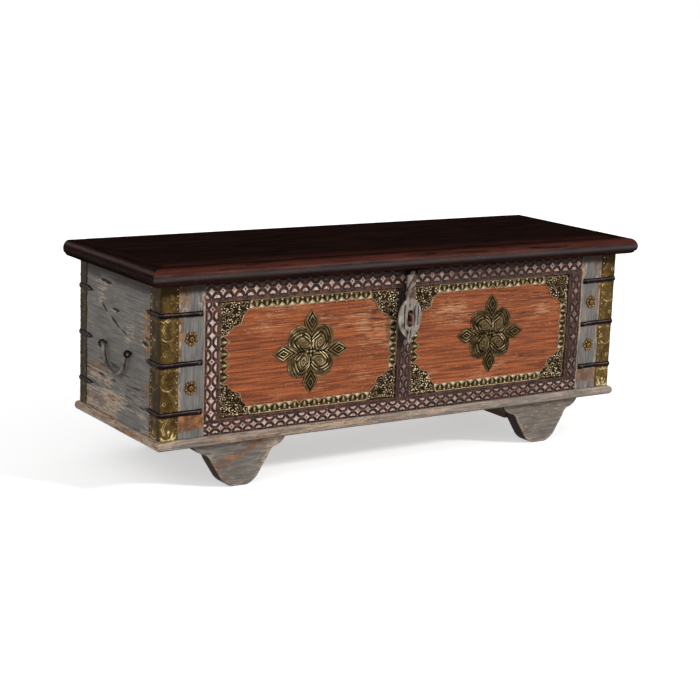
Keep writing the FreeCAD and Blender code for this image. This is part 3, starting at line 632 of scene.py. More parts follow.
def relief_slab(corner, ways, sizes, relief, marking, steps, rim, back=None):
    """A slab from one corner; ways run along, across and out of it. relief(u, v) lifts the front, and back lists
    (v, depth) corners. The edge mark fades over a band, the inside mark is 1 behind, marking(u, v) adds more."""
    (along, across, out), (length, width, thickness) = ways, sizes
    u, v = spread(length, steps[0], rim), spread(width, steps[1], rim)
    uu, vv = np.meshgrid(u, v, indexing="ij")
    rise = relief(uu, vv) - rim_drop(uu, vv, length, width, rim)
    front = corner + uu[..., None] * along + vv[..., None] * across + rise[..., None] * out
    back_v, depth = np.array(back or [(width, thickness), (0, thickness)]).T
    rear = corner + u[:, None, None] * along + back_v[None, :, None] * across - depth[None, :, None] * out
    nearest = np.minimum(np.minimum(uu, length - uu), np.minimum(vv, width - vv))
    marks = {"edge": np.clip(1 - nearest / edge_band, 0, 1), "inside": np.zeros_like(uu), **marking(uu, vv)}
    behind = np.zeros((len(u), len(back_v)))
    marks = {label: np.concatenate([values, behind + (label == "inside")], axis=1)
             for label, values in marks.items()}
    return loft(np.concatenate([front, rear], axis=1)), marks


def add_board(name, node, slot, material, *slab):
    """A slab put in its place on the trunk."""
    skin, marks = relief_slab(*slab)
    add_piece(name, skin, "trunk", material, marks, [node])


def pores(u, v, run, gap, depth, seed):
    """Shallow grooves along u: noise that changes slowly along the grain and fast across it."""
    return depth * np.minimum(soft_noise(u / run, v / gap, seed), 0.25)


print("worn boards ready")

# %% [markdown]
# The end boards show the most wear: their grain lies level, the lower third is rubbed to the cream coat, and rust
# has stained the paint beside the front angle. A dark band under the lid's overhang is painted shade. The left one
# has a few deep gouges above its handle, each a long oval dent. The back board is plainer, because nobody sees it
# against a wall.

# %% End boards
gouges = [
    # (y, z, half length, half width, depth, slope) in metres
    (0.071, 0.3865, 0.029, 0.0036, 0.0035, 0.05),
    (0.079, 0.333, 0.015, 0.0035, 0.003, 0.55),
    (0.025, 0.3358, 0.017, 0.0035, 0.003, 0.05),
    (0.030, 0.3115, 0.022, 0.004, 0.002, 0.40),
    (-0.012, 0.297, 0.020, 0.0025, 0.0015, 0.35),
    (-0.105, 0.293, 0.014, 0.004, 0.0025, 0.15),
    (-0.118, 0.304, 0.016, 0.002, 0.002, 0.1),
]
board_rim = 1.5 * mm


def gouge_depth(y, z, grown=1.0):
    """The deepest of several oval dents, each a paraboloid turned by its slope, drawn larger by grown."""
    depth = np.zeros_like(y)
    ragged = 1 + 0.35 * soft_noise(y / 0.006, z / 0.004, 5)
    for middle_y, middle_z, half_length, half_width, deepest, slope in gouges:
        along = y - middle_y
        aside = z - middle_z - slope * along
        share = (along / half_length / grown) ** 2 + (aside / half_width / grown) ** 2
        depth = np.maximum(depth, deepest * np.clip(1 - share * ragged, 0, 1) ** 0.5)
    return depth


def end_board(side, outward):
    """A slab with rabbets stepped into its back profile; v runs up the board and u from front to back."""
    low, high = corners_of("end_board_" + side)
    thickness, length, width = high - low
    front_depth = corners_of("front_board")[1][1] - low[1]
    back_depth = high[1] - corners_of("back_board")[0][1]
    face_x = high[0] if outward > 0 else low[0]
    step_depth = abs(face_x) - corners_of("front_board")[1][0]
    gouged = side == "left"

    def dents(v, u):
        """The gouges of the left board, in the board's own places."""
        return gouge_depth(u + low[1], v + low[2]) if gouged else np.zeros_like(u)

    def relief(v, u):
        """Pores plus broad waves less the dents."""
        return pores(u, v, 0.11, 0.0035, 0.0006, 11) + 0.0006 * soft_noise(u / 0.09, v / 0.05, 12) - dents(v, u)

    def marking(v, u):
        """Rubbed: a slanting band near the foot, flecks and the rims of the gouges. Stained: two bays beside the
        angle and patches low down. Gouge and shade: the dents, fine cracks and painted shade under the lid."""
        slope = v - 0.06 * (u - 0.18)
        rubbed = eased(slope, 0.13, 0.06) * (0.95 + 0.6 * soft_noise(u / 0.1, v / 0.009, 13))
        rubbed += 0.7 * eased(soft_noise(u / 0.1, v / 0.0045, 14), 0.5, 0.9)
        rubbed -= 0.5 * eased(slope, 0.04, 0.015)
        if gouged:
            ragged = eased(soft_noise(u / 0.008, v / 0.004, 20), -0.5, 0.3)
            rubbed += 1.2 * ragged * eased(gouge_depth(u + low[1], v + low[2] + 0.002, 1.7), 0.0, 0.002)
        bay = np.maximum(eased(v, 0.15, 0.17) * eased(v, 0.26, 0.24),
                         0.7 * eased(v, 0.065, 0.08) * eased(v, 0.11, 0.09))
        reach = u + 0.016 * soft_noise(v / 0.011, u / 0.02, 15)
        stained = eased(reach, 0.068, 0.056) * eased(soft_noise(u / 0.007, v / 0.006, 21), -0.6, 0.0) * bay
        stained += 0.6 * eased(soft_noise(u / 0.07, v / 0.012, 16), 0.35, 0.7) * eased(slope, 0.16, 0.05)
        cracks = eased(soft_noise(u / 0.032, v / 0.0045, 17), 0.45, 0.7)
        cracks = cracks * eased(slope, 0.13, 0.1) * eased(slope, 0.03, 0.05)
        # Painted shade: a dark band under the lid's overhang, standing in for its shadow.
        soot = 0.8 * eased(v + 0.004 * soft_noise(u / 0.03, v / 0.01, 26), width - 0.034, width - 0.016)
        return {"rubbed": rubbed, "stained": stained,
                "gouge": highest(eased(dents(v, u), 0.0004, 0.0014), 0.85 * cracks, soot)}

    back = [(length, step_depth), (length - back_depth, step_depth), (length - back_depth, thickness),
            (front_depth, thickness), (front_depth, step_depth), (0, step_depth)]
    add_board("painted_end_" + side, "end_board_" + side, "blue_grey_paint", paint_along_y,
              np.array([face_x, low[1], low[2]]), (z_way, y_way, outward * x_way), (width, length, thickness),
              relief, marking, (2.2 * mm, 2.2 * mm), board_rim, back)


for side, outward in sides:
    end_board(side, outward)

# %% Back board
def back_board():
    """A flat slab with its face to the rear."""
    low, high = corners_of("back_board")
    length, thickness, width = high - low

    def relief(u, v):
        """Pores, set down a little so that none stands proud."""
        return pores(u, v, 0.2, 0.0035, 0.0006, 18) - 0.0003

    def marking(u, v):
        """Flecks where noise is high, and more rubbing towards the foot."""
        return {"rubbed": 0.9 * eased(soft_noise(u / 0.12, v / 0.008, 19), 0.3, 0.9) + 0.4 * eased(v, 0.07, 0.0)}

    add_board("painted_back_board", "back_board", "blue_grey_paint", paint_along_x,
              np.array([low[0], high[1], low[2]]), (x_way, z_way, y_way), (length, width, thickness),
              relief, marking, (8 * mm, 1.8 * mm), board_rim)


back_board()

# %% [markdown]
# The corner stiles stand upright beside the carving. Their paint is ochre near the top and the foot,
# and cream where the brass angle has rubbed it and along the carved strip. The places of these
# stains are read off the photo, so most of the numbers are heights and widths on the stile.

# %% Corner stiles
angle_face_leg = 38 * mm


def corner_stile(side, outward):
    """A slab; u runs up the stile and v from the corner of the trunk inwards."""
    low, high = corners_of("corner_stile_" + side)
    width, thickness, height = high - low
    corner = np.array([high[0] if outward > 0 else low[0], low[1], low[2]])

    def relief(u, v):
        """Upright pores plus soft waves."""
        return pores(u, v, 0.1, 0.003, 0.0005, 21 + outward) + 0.0004 * soft_noise(u / 0.07, v / 0.03, 22)

    def marking(u, v):
        """Stained: blocks at the foot, the top and the middle, each a product of eased steps. Rubbed: bells beside
        the brass, along the carving and at two blots. Gouge and shade: painted shade under the lid."""
        ragged = soft_noise(u / 0.011, v / 0.006, 23 + outward)
        foot = eased(u - 0.1 * (v - 0.04), 0.01, 0.018) * eased(u, 0.052, 0.048) * eased(ragged, -0.9, -0.4)
        top = eased(u, height - 0.05, height - 0.035) * eased(v + 0.006 * ragged, 0.064, 0.056)
        band = eased(u, 0.148, 0.16) * eased(u, 0.246, 0.24)
        band = band * eased(v + 0.003 * ragged, 0.044 + 0.009 * eased(u, 0.185, 0.2), 0.041)
        foot_strength = 0.8 if outward > 0 else 1.5
        lower = eased(u, 0.15, 0.14)
        beside = bell(v - angle_face_leg - 0.0025, 0.0028 + 0.0014 * lower)
        beside = beside * eased(u, 0.052, 0.06) * (1 + 0.5 * lower)
        blots = bell(v - 0.087, 0.007) * bell(u - height + 0.034, 0.02)
        blots += bell(v - 0.05, 0.009) * bell(u - height + 0.052, 0.009)
        inner = bell(width - v, 0.0022) + bell(u - 0.0455, 0.003)
        rubbed = 1.6 * beside * eased(ragged, -0.7, 0.0) + 2.4 * blots * eased(ragged, -0.5, 0.2) + 1.2 * inner
        rubbed += 0.5 * eased(soft_noise(u / 0.06, v / 0.006, 25), 0.45, 0.85)
        # The near-black mark here is only painted shade, a band under the lid's overhang.
        return {"rubbed": rubbed, "stained": highest(foot_strength * foot, top * eased(ragged, -0.6, -0.1), band),
                "gouge": 0.85 * eased(u, height - 0.024, height - 0.012)}

    add_board("painted_stile_" + side, "corner_stile_" + side, "blue_grey_paint", paint_along_z, corner,
              (z_way, -outward * x_way, -y_way), (height, width, thickness), relief, marking,
              (2.5 * mm, 1.5 * mm), 1.2 * mm)


for side, outward in sides:
    corner_stile(side, outward)

# %% [markdown]
# The carved strips repeat one motif. A carver lays out squares along the strip, leaves a star with
# hollow sides in each of them and a solid half moon between the stars on both sides, a little off
# the edge, and clears the ground round them. Each form is one distance and one eased step, so the
# relief is the highest of a few formulas, and punched dots are taken out of it.

# %% Carved strips
carving_pitch = 25 * mm
carving_depth, carving_steps = 3.6 * mm, (0.85 * mm, 0.85 * mm)
punched_share = 0.6
star_shares, moon_shares = (0.31, 0.56), (0.32, 0.63)  # of the pitch along and of the half width across


def chip_carving(length, width, fillets, seed):
    """Height from 0 in the grooves to 1 on the lands. A star is where two shares of its arms, each to the power
    0.75, add up to less than 1. Half moons are ellipses about points on the edges between the stars."""
    count = max(1, round(length / carving_pitch))
    pitch = length / count
    half = (width - sum(fillets)) / 2
    middle = fillets[0] + half
    random = np.random.default_rng(seed)
    punched, kept = random.uniform(0, 1, count) < punched_share, random.uniform(0.72, 1.0, count)

    def level(u, v):
        """The height at each place: the highest of stars, moons, spine and knots less the punched dots."""
        number = np.clip(np.floor(u / pitch), 0, count - 1).astype(int)
        along = u - (number + 0.5) * pitch
        beside = np.abs(v - middle)
        inside = half - beside
        star = (np.abs(along) / (star_shares[0] * pitch)) ** 0.75 + (beside / (star_shares[1] * half)) ** 0.75
        moon = np.hypot((pitch / 2 - np.abs(along)) / (moon_shares[0] * pitch), inside / (moon_shares[1] * half))
        stars = eased(star, 1.2, 0.92) * kept[number]
        moons = eased(moon, 1.1, 0.93) * (0.6 + 0.4 * eased(moon, 0.3, 0.6)) * kept[number - 1]
        moons = moons * eased(inside, 0.14 * half, 0.3 * half)
        spine = 0.48 * bell(beside, 1.7 * mm)
        knots = 0.6 * bell(along, 2.4 * mm) * eased(inside, 0.006, 0.001)
        dots = 0.9 * punched[number] * bell(along, 1.5 * mm) * bell(beside, 1.5 * mm)
        carved = highest(stars, moons, spine, knots) - dots
        bead = 0.24 * eased(-inside, 0.0006, 0.0016)
        return np.where(inside > -0.0004, np.clip(carved, 0, 1) * eased(inside, -0.0004, 0.0006), bead)

    return level


def carved_strip(name, fillets, muted, seed):
    """A slab; u runs along the longer way of the strip."""
    low, high = corners_of(name)
    span, thickness, rise = high - low
    standing = rise > span
    length, width = (rise, span) if standing else (span, rise)
    level = chip_carving(length, width, np.array(fillets) * mm, seed)

    def relief(u, v):
        """The carving below the face, chipped by noise."""
        return carving_depth * (level(u, v) - 1) + 0.25 * mm * (soft_noise(u / 0.007, v / 0.005, seed) - 1)

    def marking(u, v):
        """Crest: the height. Muted: from one end's wear to the other's, plus noise, plus painted shade under the lid
        on the top rail and the hasp's painted shadow on the mullion.
        """
        share = muted[0] + (muted[1] - muted[0]) * eased(u / length, 0.3, 0.7)
        # Painted shade: the lid's shadow along the top rail, and the hasp's shadow on the left of the mullion's
        # upper half.
        soot = 1.6 * eased(v, width - 0.015, width - 0.009) * (name == "carved_rail_top")
        soot = soot + 1.6 * (eased(u, 0.42 * length, 0.5 * length) * eased(v, 14 * mm, 10 * mm)
                             * (name == "carved_mullion"))
        return {"crest": level(u, v), "muted": share + 0.25 * soft_noise(u / 0.05, v / 0.05, seed + 1) + soot}

    ways = (z_way, x_way, -y_way) if standing else (x_way, z_way, -y_way)
    add_board("chip_" + name, name, "carved_wood", carving_finish, low, ways, (length, width, thickness),
              relief, marking, carving_steps, 0.6 * mm)


carved_strips = {  # the beads along the low and the high edge in mm, and how worn the pale coat is at each end
    "carved_rail_top": ((5, 1.5), (0.25, 0.8)), "carved_rail_bottom": ((1, 5), (0.3, 0.7)),
    "carved_mullion": ((5, 5), (1.05, 0.95)), "carved_stile_left": ((1.2, 5), (0.1, 0.15)),
    "carved_stile_right": ((5, 1.2), (1.35, 1.2)),
}
for seed, (strip, (fillets, muted)) in enumerate(carved_strips.items()):
    carved_strip(strip, fillets, muted, 31 + seed)

# %% [markdown]
# The panels are thin boards behind the carving. Long shallow grooves follow the grain, and a margin
# mark round the edge keeps the pale coat that shows between the brass leaves. The rubbed patches
# and the long cracks lie where the photo shows them, so they are given as shares of the panel.

# %% Painted panels
panel_margin = 18 * mm
panel_cracks = {  # where a crack begins and ends along the panel, and how high it lies, as shares
    "left": [(0.72, 0.86, 0.8)],
    "right": [(0.52, 0.67, 0.88), (0.79, 0.91, 0.79)],
}
rubbed_patches = [  # strength, place along and up as shares, half length and half height in metres
    (1.0, 0.74, 0.74, 0.09, 0.035), (1.0, 0.2, 0.74, 0.06, 0.028), (0.8, 0.75, 0.2, 0.1, 0.02),
]


def painted_panel(side, seed):
    """A flat slab; u runs along the grain."""
    low, high = corners_of("painted_panel_" + side)
    length, thickness, width = high - low

    def relief(u, v):
        """Fine pores and long shallow waves."""
        return pores(u, v, 0.16, 0.0028, 0.0007, seed) + 0.0003 * soft_noise(u / 0.2, v / 0.012, seed + 1)

    def marking(u, v):
        """Rubbed: a bell for each patch, plus noise. Gouge: fine cracks in the patches, and long wavering ones.
        Margin: within its width of three edges, broken by noise."""
        nearest = np.minimum(length - u, np.minimum(v, width - v))
        patch = sum(strength * bell(u - along * length, half_length) * bell(v - rise * width, half_height)
                    for strength, along, rise, half_length, half_height in rubbed_patches)
        cracks = eased(soft_noise(u / 0.03, v / 0.0035, seed + 3), 0.62, 0.8) * eased(patch, 0.2, 0.5)
        for begin, end, rise in panel_cracks[side]:
            wavering = v - rise * width - 1.5 * mm * soft_noise(u / 0.009, v / 0.05, seed + 5)
            stretch = eased(u / length, begin, begin + 0.02) * eased(u / length, end, end - 0.02)
            cracks = np.maximum(cracks, 1.2 * bell(wavering, 1.4 * mm) * stretch)
        kept = eased(soft_noise(u / 0.03, v / 0.03, seed + 4), -0.8, -0.3)
        return {"margin": eased(nearest, panel_margin, panel_margin - 1.5 * mm) * kept, "gouge": cracks * 0.8,
                "rubbed": patch + 0.4 * soft_noise(u / 0.06, v / 0.02, seed + 2)}

    add_board("orange_panel_" + side, "painted_panel_" + side, "orange_paint", panel_paint, low,
              (x_way, z_way, -y_way), (length, width, thickness), relief, marking, (3 * mm, 1.1 * mm), 0.4 * mm)


painted_panel("left", 41)
painted_panel("right", 43)

# %% [markdown]
# Mouldings are one profile carried along a straight run, and at a mitre each point of the profile is
# cut back by its own distance from the nose. The base has a plain round nose, stained along its
# upper edge and dark under its lip, and paler on the right half of the front.

# %% Mouldings
moulding_step = 5 * mm
quirk_turn = -0.62


def nose_profile(width, low, high, depth, quirk, rabbet=(0, 0), count=16):
    """Points (reach from the nose, height) round a board: underside, nose and top. The nose is half an ellipse
    with a narrow groove, the quirk, low on it. rabbet is the width and depth of a step in the top."""
    turn = np.linspace(-np.pi / 2, np.pi / 2, count * 2 + 1)
    reach = depth * (1 - np.cos(turn)) + quirk * (bell(turn - quirk_turn, 0.1) + 0.9 * (turn < quirk_turn))
    height = (low + high) / 2 + (high - low) / 2 * np.sin(turn)
    under = np.linspace(depth, width, 9)[1:]
    over = np.linspace(depth, width - rabbet[0], 9)[1:]
    rings = [np.stack([under[::-1], np.full(8, low)], -1), np.stack([reach, height], -1),
             np.stack([over, np.full(8, high)], -1)]
    if rabbet[0]:
        rings.append(np.array([(width - rabbet[0], high - rabbet[1]), (width, high - rabbet[1])]))
    return np.concatenate(rings)


def moulding(start, run, inward, profile, length, mitres, wear, seed):
    """The profile carried along run, cut back by its own reach where mitres is 1. Noise wears it inwards."""
    share = np.linspace(0, 1, int(length / moulding_step) + 1)[:, None]
    reach, height = profile[None, :, 0], profile[None, :, 1]
    lowest, top = profile[:, 1].min(), profile[:, 1].max()
    begin, end = mitres[0] * reach, length - mitres[1] * reach
    along = begin + share * (end - begin)
    worn = wear * (0.5 + 0.5 * soft_noise(along / 0.035, height / 0.012 + reach / 0.02, seed))
    sunk = np.clip(1 - reach / 0.02, 0, 1)
    in_reach = reach + worn * sunk
    down = np.sign(height - (lowest + top) / 2) * worn * (1 - sunk) * 0.35
    points = start + along[..., None] * run + in_reach[..., None] * inward + (height - down)[..., None] * z_way
    level = (height - lowest) / (top - lowest)
    nose = eased(reach, 0.014, 0.004)
    glow = eased(level, 0.4, 0.75) * eased(reach, 0.04, 0.004) + 0.3 * eased(level, 0.34, 0.2)
    # The rubbed mark is a band of coat on the middle of the nose, set where the highlight falls: painted sheen.
    # Upper is the nose's top edge.
    marks = {"edge": sunk, "rubbed": bell(level - 0.5, 0.13) * nose, "glow": glow,
             "upper": bell(level - 0.84, 0.09) * nose}
    return loft(points), {label: np.broadcast_to(values, along.shape) for label, values in marks.items()}


print("mouldings ready")

# %% Base moulding
base_low, base_high = corners_of("base_moulding_front")
base_x, base_front, base_back = base_high[0], base_low[1], corners_of("base_moulding_right")[1][1]
base_profile = nose_profile(base_high[1] - base_low[1], base_low[2], base_high[2], 7 * mm, 0)


def base_moulding(name, start, run, inward, length, material, seed):
    """Stained: streaks and a bell near the top. Rubbed: the upper edge plus noise. Gouge: a thin line behind the
    nose and the shadow under the lip. On the front, fade lightens the right half."""
    skin, marks = moulding(start, run, inward, base_profile, length, (1, 1), 1.0 * mm, seed)
    edge = marks["edge"]
    places = np.linspace(0, length / 0.05, len(edge))[:, None]
    level = (base_profile[:, 1] - base_low[2]) / (base_high[2] - base_low[2])
    fade = eased(places / places.max(), 0.3, 0.7) * ("front" in name)
    streaks = soft_noise(places * 0.35, level * 9 + 20, seed + 7)
    upper = bell(level - 0.7, 0.16) * eased(streaks, -0.3, 0.2)
    stained = 0.9 * np.maximum(eased(streaks, 0.15, 0.5), upper) * (1 - 0.8 * fade)
    rubbed = 0.8 * bell(level - 0.92, 0.07) + 0.6 * soft_noise(places * 0.9, level * 6, seed + 9) - 0.3 - 0.5 * fade
    line = bell(edge - 0.12, 0.07) * eased(soft_noise(places * 0.8, level * 2, seed + 5), -0.5, 0.1)
    gouge = np.maximum(0.55 * line, 0.85 * eased(level, 0.16, 0.03) * eased(edge, 0.3, 0.6))
    add_piece("painted_" + name, skin, "trunk", material,
              {"edge": edge, "rubbed": rubbed, "stained": stained, "gouge": gouge}, [name])


base_runs = {  # the corner to start from, the way along and the way inwards
    "front": (-base_x, base_front, x_way, y_way), "back": (-base_x, base_back, x_way, -y_way),
    "left": (-base_x, base_front, y_way, x_way), "right": (base_x, base_front, y_way, -x_way),
}
for seed, (part, (x, y, run, inward)) in enumerate(base_runs.items()):
    length, material = ((2 * base_x, paint_on_base) if run is x_way
                        else (base_back - base_front, paint_on_base_ends))
    base_moulding("base_moulding_" + part, np.array([x, y, 0]), run, inward, length, material, 51 + seed)

# %% [markdown]
# The lid's nosing is rounder than the base, with a narrow quirk and a small round under it, as a
# moulding plane leaves it. The front run is mitred at both ends. Each side run has a rabbet only
# as far as the planks reach, so it is made of two runs with two profiles.

# %% Lid nosings
nosing_depth, nosing_quirk = 14 * mm, 1.3 * mm
lid_low, lid_high = corners_of("lid_front_nosing")
plank_low, plank_high = corners_of("lid_planks")
rail_width = lid_high[1] - lid_low[1]
lid_depth = corners_of("lid_rear_rail")[1][1] - lid_low[1]
plank_rear = plank_high[1] - lid_low[1]
plank_rabbet = (lid_high[1] - plank_low[1], lid_high[2] - plank_low[2])
nosing_profile, full_profile = (nose_profile(rail_width, lid_low[2], lid_high[2], nosing_depth, nosing_quirk, cut)
                                for cut in (plank_rabbet, (0, 0)))


def lid_nosing(name, runs, material, seed):
    """One piece from runs of moulding. The front's coat band on the middle of its nose is painted sheen; on the
    sides the upper edge takes coat and the red-brown glow as a painted highlight.
    """
    made = [moulding(*run, 0.9 * mm, seed) for run in runs]
    marks = {label: np.concatenate([marks[label].ravel() for _, marks in made]) for label in made[0][1]}
    upper = marks.pop("upper")
    if "front" not in name:
        # The sides' upper edge: red-brown glow and coat stand in for the highlight along the top ridge.
        marks.update(glow=0.6 * upper, rubbed=0.05 * marks["rubbed"] + 0.28 * upper)
    add_piece("stained_" + name, joined([skin for skin, _ in made]), "lid", material, marks, [name])


front_corner = np.array([lid_low[0], lid_low[1], 0])
lid_nosing("lid_front_nosing", [(front_corner, x_way, y_way, nosing_profile, lid_high[0] - lid_low[0], (1, 1))],
           lid_along_x, 61)
for (side, outward), x in zip(sides, (lid_low[0], lid_high[0])):
    start = np.array([x, lid_low[1], 0])
    runs = [(start, y_way, -outward * x_way, nosing_profile, plank_rear, (1, 0)),
            (start + plank_rear * y_way, y_way, -outward * x_way, full_profile, lid_depth - plank_rear, (0, 0))]
    lid_nosing("lid_nosing_" + side, runs, lid_along_y, 62)

# %% [markdown]
# Feet, brass plates, medallions and studs are all flat things cut to an outline. Each is made of rings
# that shrink from the outline to a middle point, lifted by its own relief, with a point at each end.

# %% Outlined plates
def arc_points(first, middle, last, count):
    """Points of the circle through three points, from the first to the last past the middle one."""
    a, b, c = (complex(*p) for p in (first, middle, last))
    w = (c - a) / (b - a)
    centre = (b - a) * (w - abs(w) ** 2) / (2j * w.imag) + a
    turn_b, turn_c = np.angle((b - centre) / (a - centre)), np.angle((c - centre) / (a - centre))
    if turn_b * turn_c < 0 or abs(turn_c) < abs(turn_b):
        turn_c -= np.sign(turn_c) * 2 * np.pi
    points = centre + (a - centre) * np.exp(1j * np.linspace(0, turn_c, count))
    return np.stack([points.real, points.imag], -1)


def resampled(outline, count):
    """The same closed outline with evenly spaced points."""
    closed = np.concatenate([outline, outline[:1]])
    run = np.concatenate([[0], np.cumsum(np.linalg.norm(np.diff(closed, axis=0), axis=1))])
    places = np.linspace(0, run[-1], count, endpoint=False)
    return np.stack([np.interp(places, run, closed[:, k]) for k in (0, 1)], -1)


def shrunk(outline, middle, shares):
    """Rings that are shares of the outline about its middle: (place round it, ring, two coordinates)."""
    return middle + (outline - middle)[:, None, :] * np.asarray(shares)[None, :, None]


def sheet_shares(first, count):
    """Shares from near the middle out to the edge, the edge twice, so that the sheet gets a cut edge."""
    return np.append(np.linspace(first, 1, count), 1.0)


def grounded(rises):
    """The same heights with the last ring brought down to the wood."""
    return np.concatenate([rises[:, :-1], 0 * rises[:, -1:]], axis=1)


def outlined_plate(origin, toward_x, toward_z, middle, rings, rises):
    """Rings put in space from an origin, each point lifted forwards by its rise, and closed by a point at each
    end. rises is one value per ring or per point."""
    lift = np.broadcast_to(rises, rings.shape[:2])
    turns, ring = lift.shape
    flat = np.concatenate([rings.reshape(-1, 2), [middle, middle]])
    lift = np.concatenate([lift.ravel(), lift[:, 0].mean(keepdims=True), lift[:, -1].mean(keepdims=True)])
    points = origin + flat[:, :1] * toward_x + flat[:, 1:] * toward_z - lift[:, None] * y_way
    around = np.arange(turns)
    beyond = (around + 1) % turns
    front = np.stack([np.full(turns, turns * ring), beyond * ring, around * ring], -1)
    rear = np.stack([np.full(turns, turns * ring + 1), around * ring + ring - 1, beyond * ring + ring - 1], -1)
    return points, [quads(turns, ring, True, False), front, rear]


def with_ends(values):
    """Marks for an outlined plate, with the mean of the first and last ring for its two end points."""
    return np.concatenate([values.ravel(), [values[:, 0].mean(), values[:, -1].mean()]])


print("outlined plates ready")

# %% [markdown]
# The feet are bracket boards, sawn to a round ear, a hollow, a slanted cheek and a rounded toe. The outline is
# joined from arcs through three points and carried through the board's thickness. Paint is left on the face, rubbed
# off along a slanted band on the left feet, and the sawn walls are darkened as painted shade.

# %% Feet
ear_shares = ((1.0, 0.0), (0.93, 0.13), (0.75, 0.23))
hollow_shares = ((0.75, 0.23), (0.68, 0.29), (0.63, 0.39))
toe_shares = ((0.42, 0.77), (0.31, 0.91), (0.16, 1.0))
foot_rim, foot_slant, foot_middle_share = 2.5 * mm, 0.45, 0.37
face_shares = np.array([0.12, 0.24, 0.36, 0.48, 0.6, 0.7, 0.8, 0.88, 0.94])


def foot_outline(half_width, height):
    """Three arcs given as shares of half the width and of the height, mirrored and evenly resampled."""
    half = np.concatenate([arc_points(*shares, 14) for shares in (ear_shares, hollow_shares, toe_shares)])
    half = half * np.array([half_width, -height])
    return resampled(np.concatenate([half, half[::-1] * np.array([-1, 1])]), 260)


def bracket_foot(name, seed):
    """Rings run over the face, round a quarter-round rim, along the wall and over the back. Grooves and stains
    follow noise that is long along the slant and short across it."""
    low, high = corners_of(name)
    thickness, height = high[1] - low[1], high[2] - low[2]
    rim_turn = np.linspace(0, np.pi / 2, 5)
    rim_share, rim_rise = 1 - 0.035 * (1 - np.sin(rim_turn)), -foot_rim * (1 - np.cos(rim_turn))
    shares = np.concatenate([face_shares, rim_share, rim_share[::-1], face_shares[::-1]])
    depth = np.concatenate([0 * face_shares, rim_rise, -thickness - rim_rise[::-1], 0 * face_shares - thickness])
    middle = np.array([0, -foot_middle_share * height])
    rings = shrunk(foot_outline((high[0] - low[0]) / 2, height), middle, shares)
    along, slant = rings[..., 0], rings[..., 1] - foot_slant * rings[..., 0]
    on_face = np.arange(len(shares)) < len(face_shares)
    worn = -0.0007 * np.abs(soft_noise(along / 0.08 + 5, slant / 0.006 + 9, seed)) * on_face
    origin = np.array([(low[0] + high[0]) / 2, low[1], high[2]])
    skin = outlined_plate(origin, x_way, z_way, middle, rings, depth + worn)
    streaks = soft_noise(along / 0.04 + 3, slant / 0.007, seed + 1)
    pale = eased(soft_noise(along / 0.09, slant / 0.009, seed + 2), 0.1, 0.7)
    if "left" in name:
        band = bell(slant + 27 * mm, 11 * mm)
        stained = 0.95 * np.maximum(band * eased(streaks, -0.7, 0.1), 0.5 * eased(streaks, 0.3, 0.7))
        rubbed = 0.7 * pale + 0.7 * eased(along, 0.02, 0.06)
    else:
        stained, rubbed = 0.22 * eased(streaks, -0.05, 0.6), 0.2 * pale - 0.25
    # Painted shade on the sawn walls, carried by the near-black mark.
    painted_wall_shade = eased(depth, -0.0012, -0.0024) * eased(shares, 0.9, 0.96)
    marks = {"edge": 0.8 * eased(shares, 0.86, 0.99), "stained": stained, "rubbed": rubbed, "gouge": painted_wall_shade}
    marks = {label: with_ends(np.broadcast_to(values, along.shape)) for label, values in marks.items()}
    add_piece("painted_" + name, skin, "trunk", paint_on_feet, marks, [name])


for seed, place in enumerate(("front_left", "front_right", "rear_left", "rear_right")):
    bracket_foot("foot_" + place, 71 + 3 * seed)

# %% [markdown]
# The lid's planks lie in the rabbets of its rails, with hairline joints between them. They get the same
# relief as the boards: pores along the grain and softly rounded edges.

# %% Lid planks
plank_count, plank_gap = 3, 0.8 * mm


def lid_plank(index):
    """One of several slabs a hairline apart."""
    low, high = corners_of("lid_planks")
    length, depth, thickness = high - low
    pitch = (depth + plank_gap) / plank_count

    def relief(u, v):
        """Pores, set down so that none stands above the lid's box."""
        return pores(u, v, 0.2, 0.0035, 0.0005, 81 + index) - 0.00013

    def marking(u, v):
        """Glow on the first plank, fading away from its front edge."""
        return {"glow": eased(v, 0.06, 0.0) * (index == 0) * 0.35}

    corner = np.array([low[0], low[1] + index * pitch, high[2]])
    skin, marks = relief_slab(corner, (x_way, y_way, z_way), (length, pitch - plank_gap, thickness), relief, marking,
                              (9 * mm, 1.6 * mm), 0.7 * mm)
    return skin, {"edge": 0.25 * marks["edge"].ravel(), "glow": marks["glow"].ravel()}


planks = [lid_plank(index) for index in range(plank_count)]
plank_marks = {label: np.concatenate([marks[label] for _, marks in planks]) for label in ("edge", "glow")}
add_piece("stained_lid_planks", joined([skin for skin, _ in planks]), "lid", lid_along_x,
          plank_marks, ["lid_planks"])

# %% [markdown]
# The brass border is a strip stamped with a row of pointed leaves, broader on the upright sides than
# above and below. Across the strip the places run from the straight edge to the free edge, and the
# free edge is itself a function of the place along it: a pointed arch for every leaf. Ridges
# follow the arch, the midrib and the straight bead.

# %% Brass borders
border_width, side_border_width = 20.5 * mm, 24 * mm
leaf_pitch, leaf_foot, leaf_stations = 23 * mm, 10.5 * mm, 32
sheet_thickness = 0.7 * mm
plate_leg = 70 * mm


